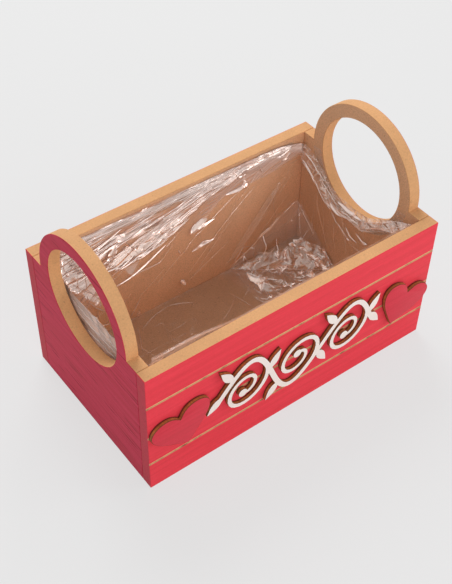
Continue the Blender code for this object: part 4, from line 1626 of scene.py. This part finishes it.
def strewn_creases(rng):
    """Creases that aren't placed one by one: curls, tension lines and lines along the rim."""
    rows = []
    for face, count, low, high, way, swing, reaches, bow, widths, milk_and_painted_light in STREWN:
        for _ in range(count):
            middle, reach = rng.uniform(metres(*low), metres(*high)), rng.uniform(*metres(*reaches))
            turn = math.radians(way + rng.uniform(-swing, swing))
            points = bowed(middle, turn, reach, reach * rng.uniform(-bow, bow))
            rows.append((face, rng.uniform(*metres(*widths)), rng.uniform(*milk_and_painted_light), points))
    for face, rim_at, sink, count in (("right", right_rim, 0.014, 30), ("left", left_rim, 0.024, 40)):
        for _ in range(count):
            start, reach = rng.uniform(-0.062, 0.050), rng.uniform(0.012, 0.040)
            y = np.linspace(start, min(start + reach, 0.062), 5)
            depth = rng.uniform(0.0020, sink) + rng.uniform(-0.002, 0.002) * np.linspace(-1, 1, 5)
            points = np.stack((y, rim_at(y) - np.clip(depth, 0.0008, None)), 1)
            rows.append((face, rng.uniform(0.0003, 0.0009), rng.uniform(0.3, 0.9), points))
    for _ in range(150):
        turn = math.radians(1.2 + 22 * rng.uniform() ** 1.6)
        near = rng.uniform(0.0, 0.180)
        far = np.linspace(near, near + rng.uniform(0.010, 0.045), 4)
        x = FAN_POINT[0] - far * math.cos(turn)
        up = FAN_POINT[1] - far * math.sin(turn) + rng.uniform(-0.0008, 0.0008, 4)
        if x[-1] > -0.111 and all(up > pleated_from(x)) and all(up < RIM_BACK - 0.0008):
            rows.append(("back", rng.uniform(0.0003, 0.0008), rng.uniform(0.3, 0.85), np.stack((x, up), 1)))
    for _ in range(40):
        x = rng.uniform(-0.112, 0.095)
        x = np.linspace(x, x + rng.uniform(0.02, 0.06), 4)
        up = RIM_BACK - rng.uniform(0.0008, 0.0060) + rng.uniform(-0.0004, 0.0004, 4)
        rows.append(("back", rng.uniform(0.0003, 0.0007), rng.uniform(0.3, 0.8), np.stack((x, up), 1)))
    return rows


# From where, and which way, a crease's places are sought on the film.
SEEK_FROM = {
    "back": (lambda a, b: (a, -0.01, b), (0, 1, 0)),
    "front": (lambda a, b: (a, 0.01, b), (0, -1, 0)),
    "front_rim": (lambda a, b: (a, -0.08, b), (0, 1, 0)),
    "right": (lambda a, b: (0.0, a, b), (1, 0, 0)),
    "left": (lambda a, b: (0.0, a, b), (-1, 0, 0)),
    "floor": (lambda a, b: (a, b, 0.05), (0, 0, -1)),
}


def along_points(points):
    """The places along a line through the points, an even short step apart."""
    points = np.array(points, float)
    gaps = np.linalg.norm(np.diff(points, axis=0), axis=1)
    travelled = np.concatenate(([0], np.cumsum(gaps)))
    count = max(5, round(travelled[-1] / CREASE_STEP))
    at = np.linspace(0, travelled[-1], count)
    line = np.stack([np.interp(at, travelled, points[:, k]) for k in (0, 1)], 1)
    for _ in range(4):
        line[1:-1] = (line[:-2] + 2 * line[1:-1] + line[2:]) / 4
    return line


def crease_strips(made, rows):
    """Adds narrow raised folds that lie on the film's faces."""
    shape = bmesh.new()
    shape.from_mesh(made.data)
    film = BVHTree.FromBMesh(shape)
    crease_and_light_layer = shape.verts.layers.float["crease"]
    for face, width, milk_and_painted_light, points in rows:
        seek, way = SEEK_FROM[face]
        hits = [film.ray_cast(seek(a, b), way)[0] for a, b in along_points(points)]
        spine = [hit for hit in hits if hit is not None]
        on_heap = face != "floor" or all(place.z <= traced(CRUMPLE_TOP, place.x) for place in spine)
        if len(spine) < 4 or not on_heap:
            continue
        out = -Vector(way)
        edge_milk_and_painted_light = milk_and_painted_light * 0.8
        lit_way, slope = ((-0.6, -0.8, 0), FLOOR_SLOPE) if face == "floor" else ((-0.4, 0, 1), WALL_SLOPE)
        last = None
        for i, place_on_film in enumerate(spine):
            tangent = spine[min(i + 1, len(spine) - 1)] - spine[max(i - 1, 0)]
            lit_side = out.cross(tangent).normalized()
            if lit_side.dot(lit_way) < 0:
                lit_side.negate()
            share = i / (len(spine) - 1)
            half = width / 2 * max(0.15, math.sin(math.pi * share) ** 0.5)
            row = []
            for step, value in ((1.0, edge_milk_and_painted_light), (RIDGE_AT, milk_and_painted_light), (-1.0, edge_milk_and_painted_light)):
                rise = slope * (1 - step) * half if step == RIDGE_AT else 0.0
                vert = shape.verts.new(place_on_film + lit_side * step * half + out * (CREASE_LIFT + rise))
                vert[crease_and_light_layer] = value
                row.append(vert)
            if last:
                for k in (0, 1):
                    strip = shape.faces.new((last[k], last[k + 1], row[k + 1], row[k]))
                    strip.normal_update()
                    if strip.normal.dot(out) < 0:
                        strip.normal_flip()
            last = row
    shape.to_mesh(made.data)
    shape.free()


class GIFTBOX_OT_film(bpy.types.Operator):
    """Makes the liner of clear film"""

    bl_idname = "giftbox.film"
    bl_label = "Film liner"

    def execute(self, context):
        made = film_tray()
        crumple(made)
        made.data.materials.append(film_material(context.scene.gift_box_finishes.film_tint))
        only(made)
        bpy.ops.object.shade_smooth_by_angle(angle=math.radians(22))
        done(made, "clear_film", "film_liner")
        return {"FINISHED"}


def put_in_scene(name, data, place, turn):
    made = bpy.data.objects.new(name, data)
    bpy.context.scene.collection.objects.link(made)
    made.location = place
    made.rotation_mode = "QUATERNION"
    made.rotation_quaternion = turn
    return made


LAMPS_AIM_AT = Vector((0, 0, 0.06))


def soft_box(name, place, size, watts):
    data = bpy.data.lights.new(name, "AREA")
    data.shape = "SQUARE"
    data.size = size
    data.energy = watts
    put_in_scene(name, data, place, (LAMPS_AIM_AT - Vector(place)).to_track_quat("-Z", "Y"))


def seen_directly(tree):
    """Whether the studio is seen by the camera, in a reflection or through a clear piece."""
    kinds = ("Camera", "Transmission", "Glossy")
    camera, through, glossy = (
        wire(tree, "ShaderNodeLightPath", output=f"Is {kind} Ray") for kind in kinds
    )
    return maths("MAXIMUM", maths("MAXIMUM", camera, through), glossy)


def floor_material(tone, shadow_share):
    """A pale floor whose own light, seen by the camera, keeps the shadow faint."""
    made = bpy.data.materials.new("studio_floor")
    made.use_nodes = True
    tree = made.node_tree
    shader = tree.nodes["Principled BSDF"]
    settings = {"Base Color": (*tone, 1), "Roughness": 0.9, "Specular IOR Level": 0.0}
    for name, value in settings.items():
        plug(value, shader.inputs[name])
    glow = add_node(tree, "ShaderNodeEmission", {"Color": (*tone, 1), "Strength": 1.0})
    show_mix(seen_directly(tree) * (1.0 - shadow_share), shader, glow)
    return made


def light_world(tone, strength):
    world = bpy.data.worlds.new("studio")
    bpy.context.scene.world = world
    world.use_nodes = True
    tree = world.node_tree
    light = tree.nodes["Background"]
    plug((1, 1, 1, 1), light.inputs["Color"])
    plug(strength, light.inputs["Strength"])
    seen = add_node(tree, "ShaderNodeBackground", {"Color": (*tone, 1), "Strength": 1.0})
    show_mix(seen_directly(tree), light, seen, "World Output")


class GIFTBOX_OT_stage(bpy.types.Operator):
    """Sets up the camera, the lamps and a pale floor"""

    bl_idname = "giftbox.stage"
    bl_label = "Stage"

    def execute(self, context):
        stage = context.scene.gift_box_stage
        azimuth, elevation = stage.camera_azimuth, stage.camera_elevation
        away = math.cos(elevation)
        back = Vector((math.sin(azimuth) * away, -math.cos(azimuth) * away, math.sin(elevation)))
        data = bpy.data.cameras.new("camera")
        data.lens = stage.camera_lens
        data.sensor_width = 36.0
        data.clip_start = 0.01
        turn = (-back).to_track_quat("-Z", "Y") @ Quaternion((0, 0, 1), stage.camera_roll)
        context.scene.camera = put_in_scene("camera", data, stage.camera_place, turn)
        soft_box("back_light", (0.3, 0.9, 1.2), 0.8, stage.back_power)
        soft_box("front_light", (-0.30, -1.3, 0.55), 1.0, stage.front_power)
        soft_box("side_light", (1.1, -0.8, 0.6), 0.7, stage.side_power)
        deselect()
        bpy.ops.mesh.primitive_plane_add(size=1)
        floor = named("studio_floor")
        floor.scale = (6.0, 6.0, 1)
        settle(floor)
        floor.data.materials.append(floor_material(stage.floor_tone, stage.shadow_share))
        light_world(stage.floor_tone, stage.sky_light)
        context.scene.view_settings.view_transform = "Standard"
        return {"FINISHED"}


class GIFTBOX_PT_panel(bpy.types.Panel):
    """Lists the steps that make the box"""

    bl_idname = "GIFTBOX_PT_panel"
    bl_label = "Gift box"
    bl_space_type = "VIEW_3D"
    bl_region_type = "UI"
    bl_category = "Gift box"

    def draw(self, context):
        for step in STEPS:
            self.layout.operator(step.bl_idname)


STEPS = (
    GIFTBOX_OT_front_board,
    GIFTBOX_OT_back_board,
    GIFTBOX_OT_end_boards,
    GIFTBOX_OT_bottom_and_pins,
    GIFTBOX_OT_hearts,
    GIFTBOX_OT_scroll,
    GIFTBOX_OT_glue_bands,
    GIFTBOX_OT_film,
    GIFTBOX_OT_stage,
)
GROUPS = {
    "gift_box_sizes": GIFTBOX_PG_sizes,
    "gift_box_finishes": GIFTBOX_PG_finishes,
    "gift_box_stage": GIFTBOX_PG_stage,
}
CLASSES = (*GROUPS.values(), *STEPS, GIFTBOX_PT_panel)


def register():
    for item in CLASSES:
        bpy.utils.register_class(item)
    for name, group in GROUPS.items():
        setattr(bpy.types.Scene, name, PointerProperty(type=group))


def unregister():
    for name in GROUPS:
        delattr(bpy.types.Scene, name)
    for item in reversed(CLASSES):
        bpy.utils.unregister_class(item)


def main():
    register()
    for step in STEPS:
        family, name = step.bl_idname.split(".")
        getattr(getattr(bpy.ops, family), name)()


if __name__ == "__main__":
    main()
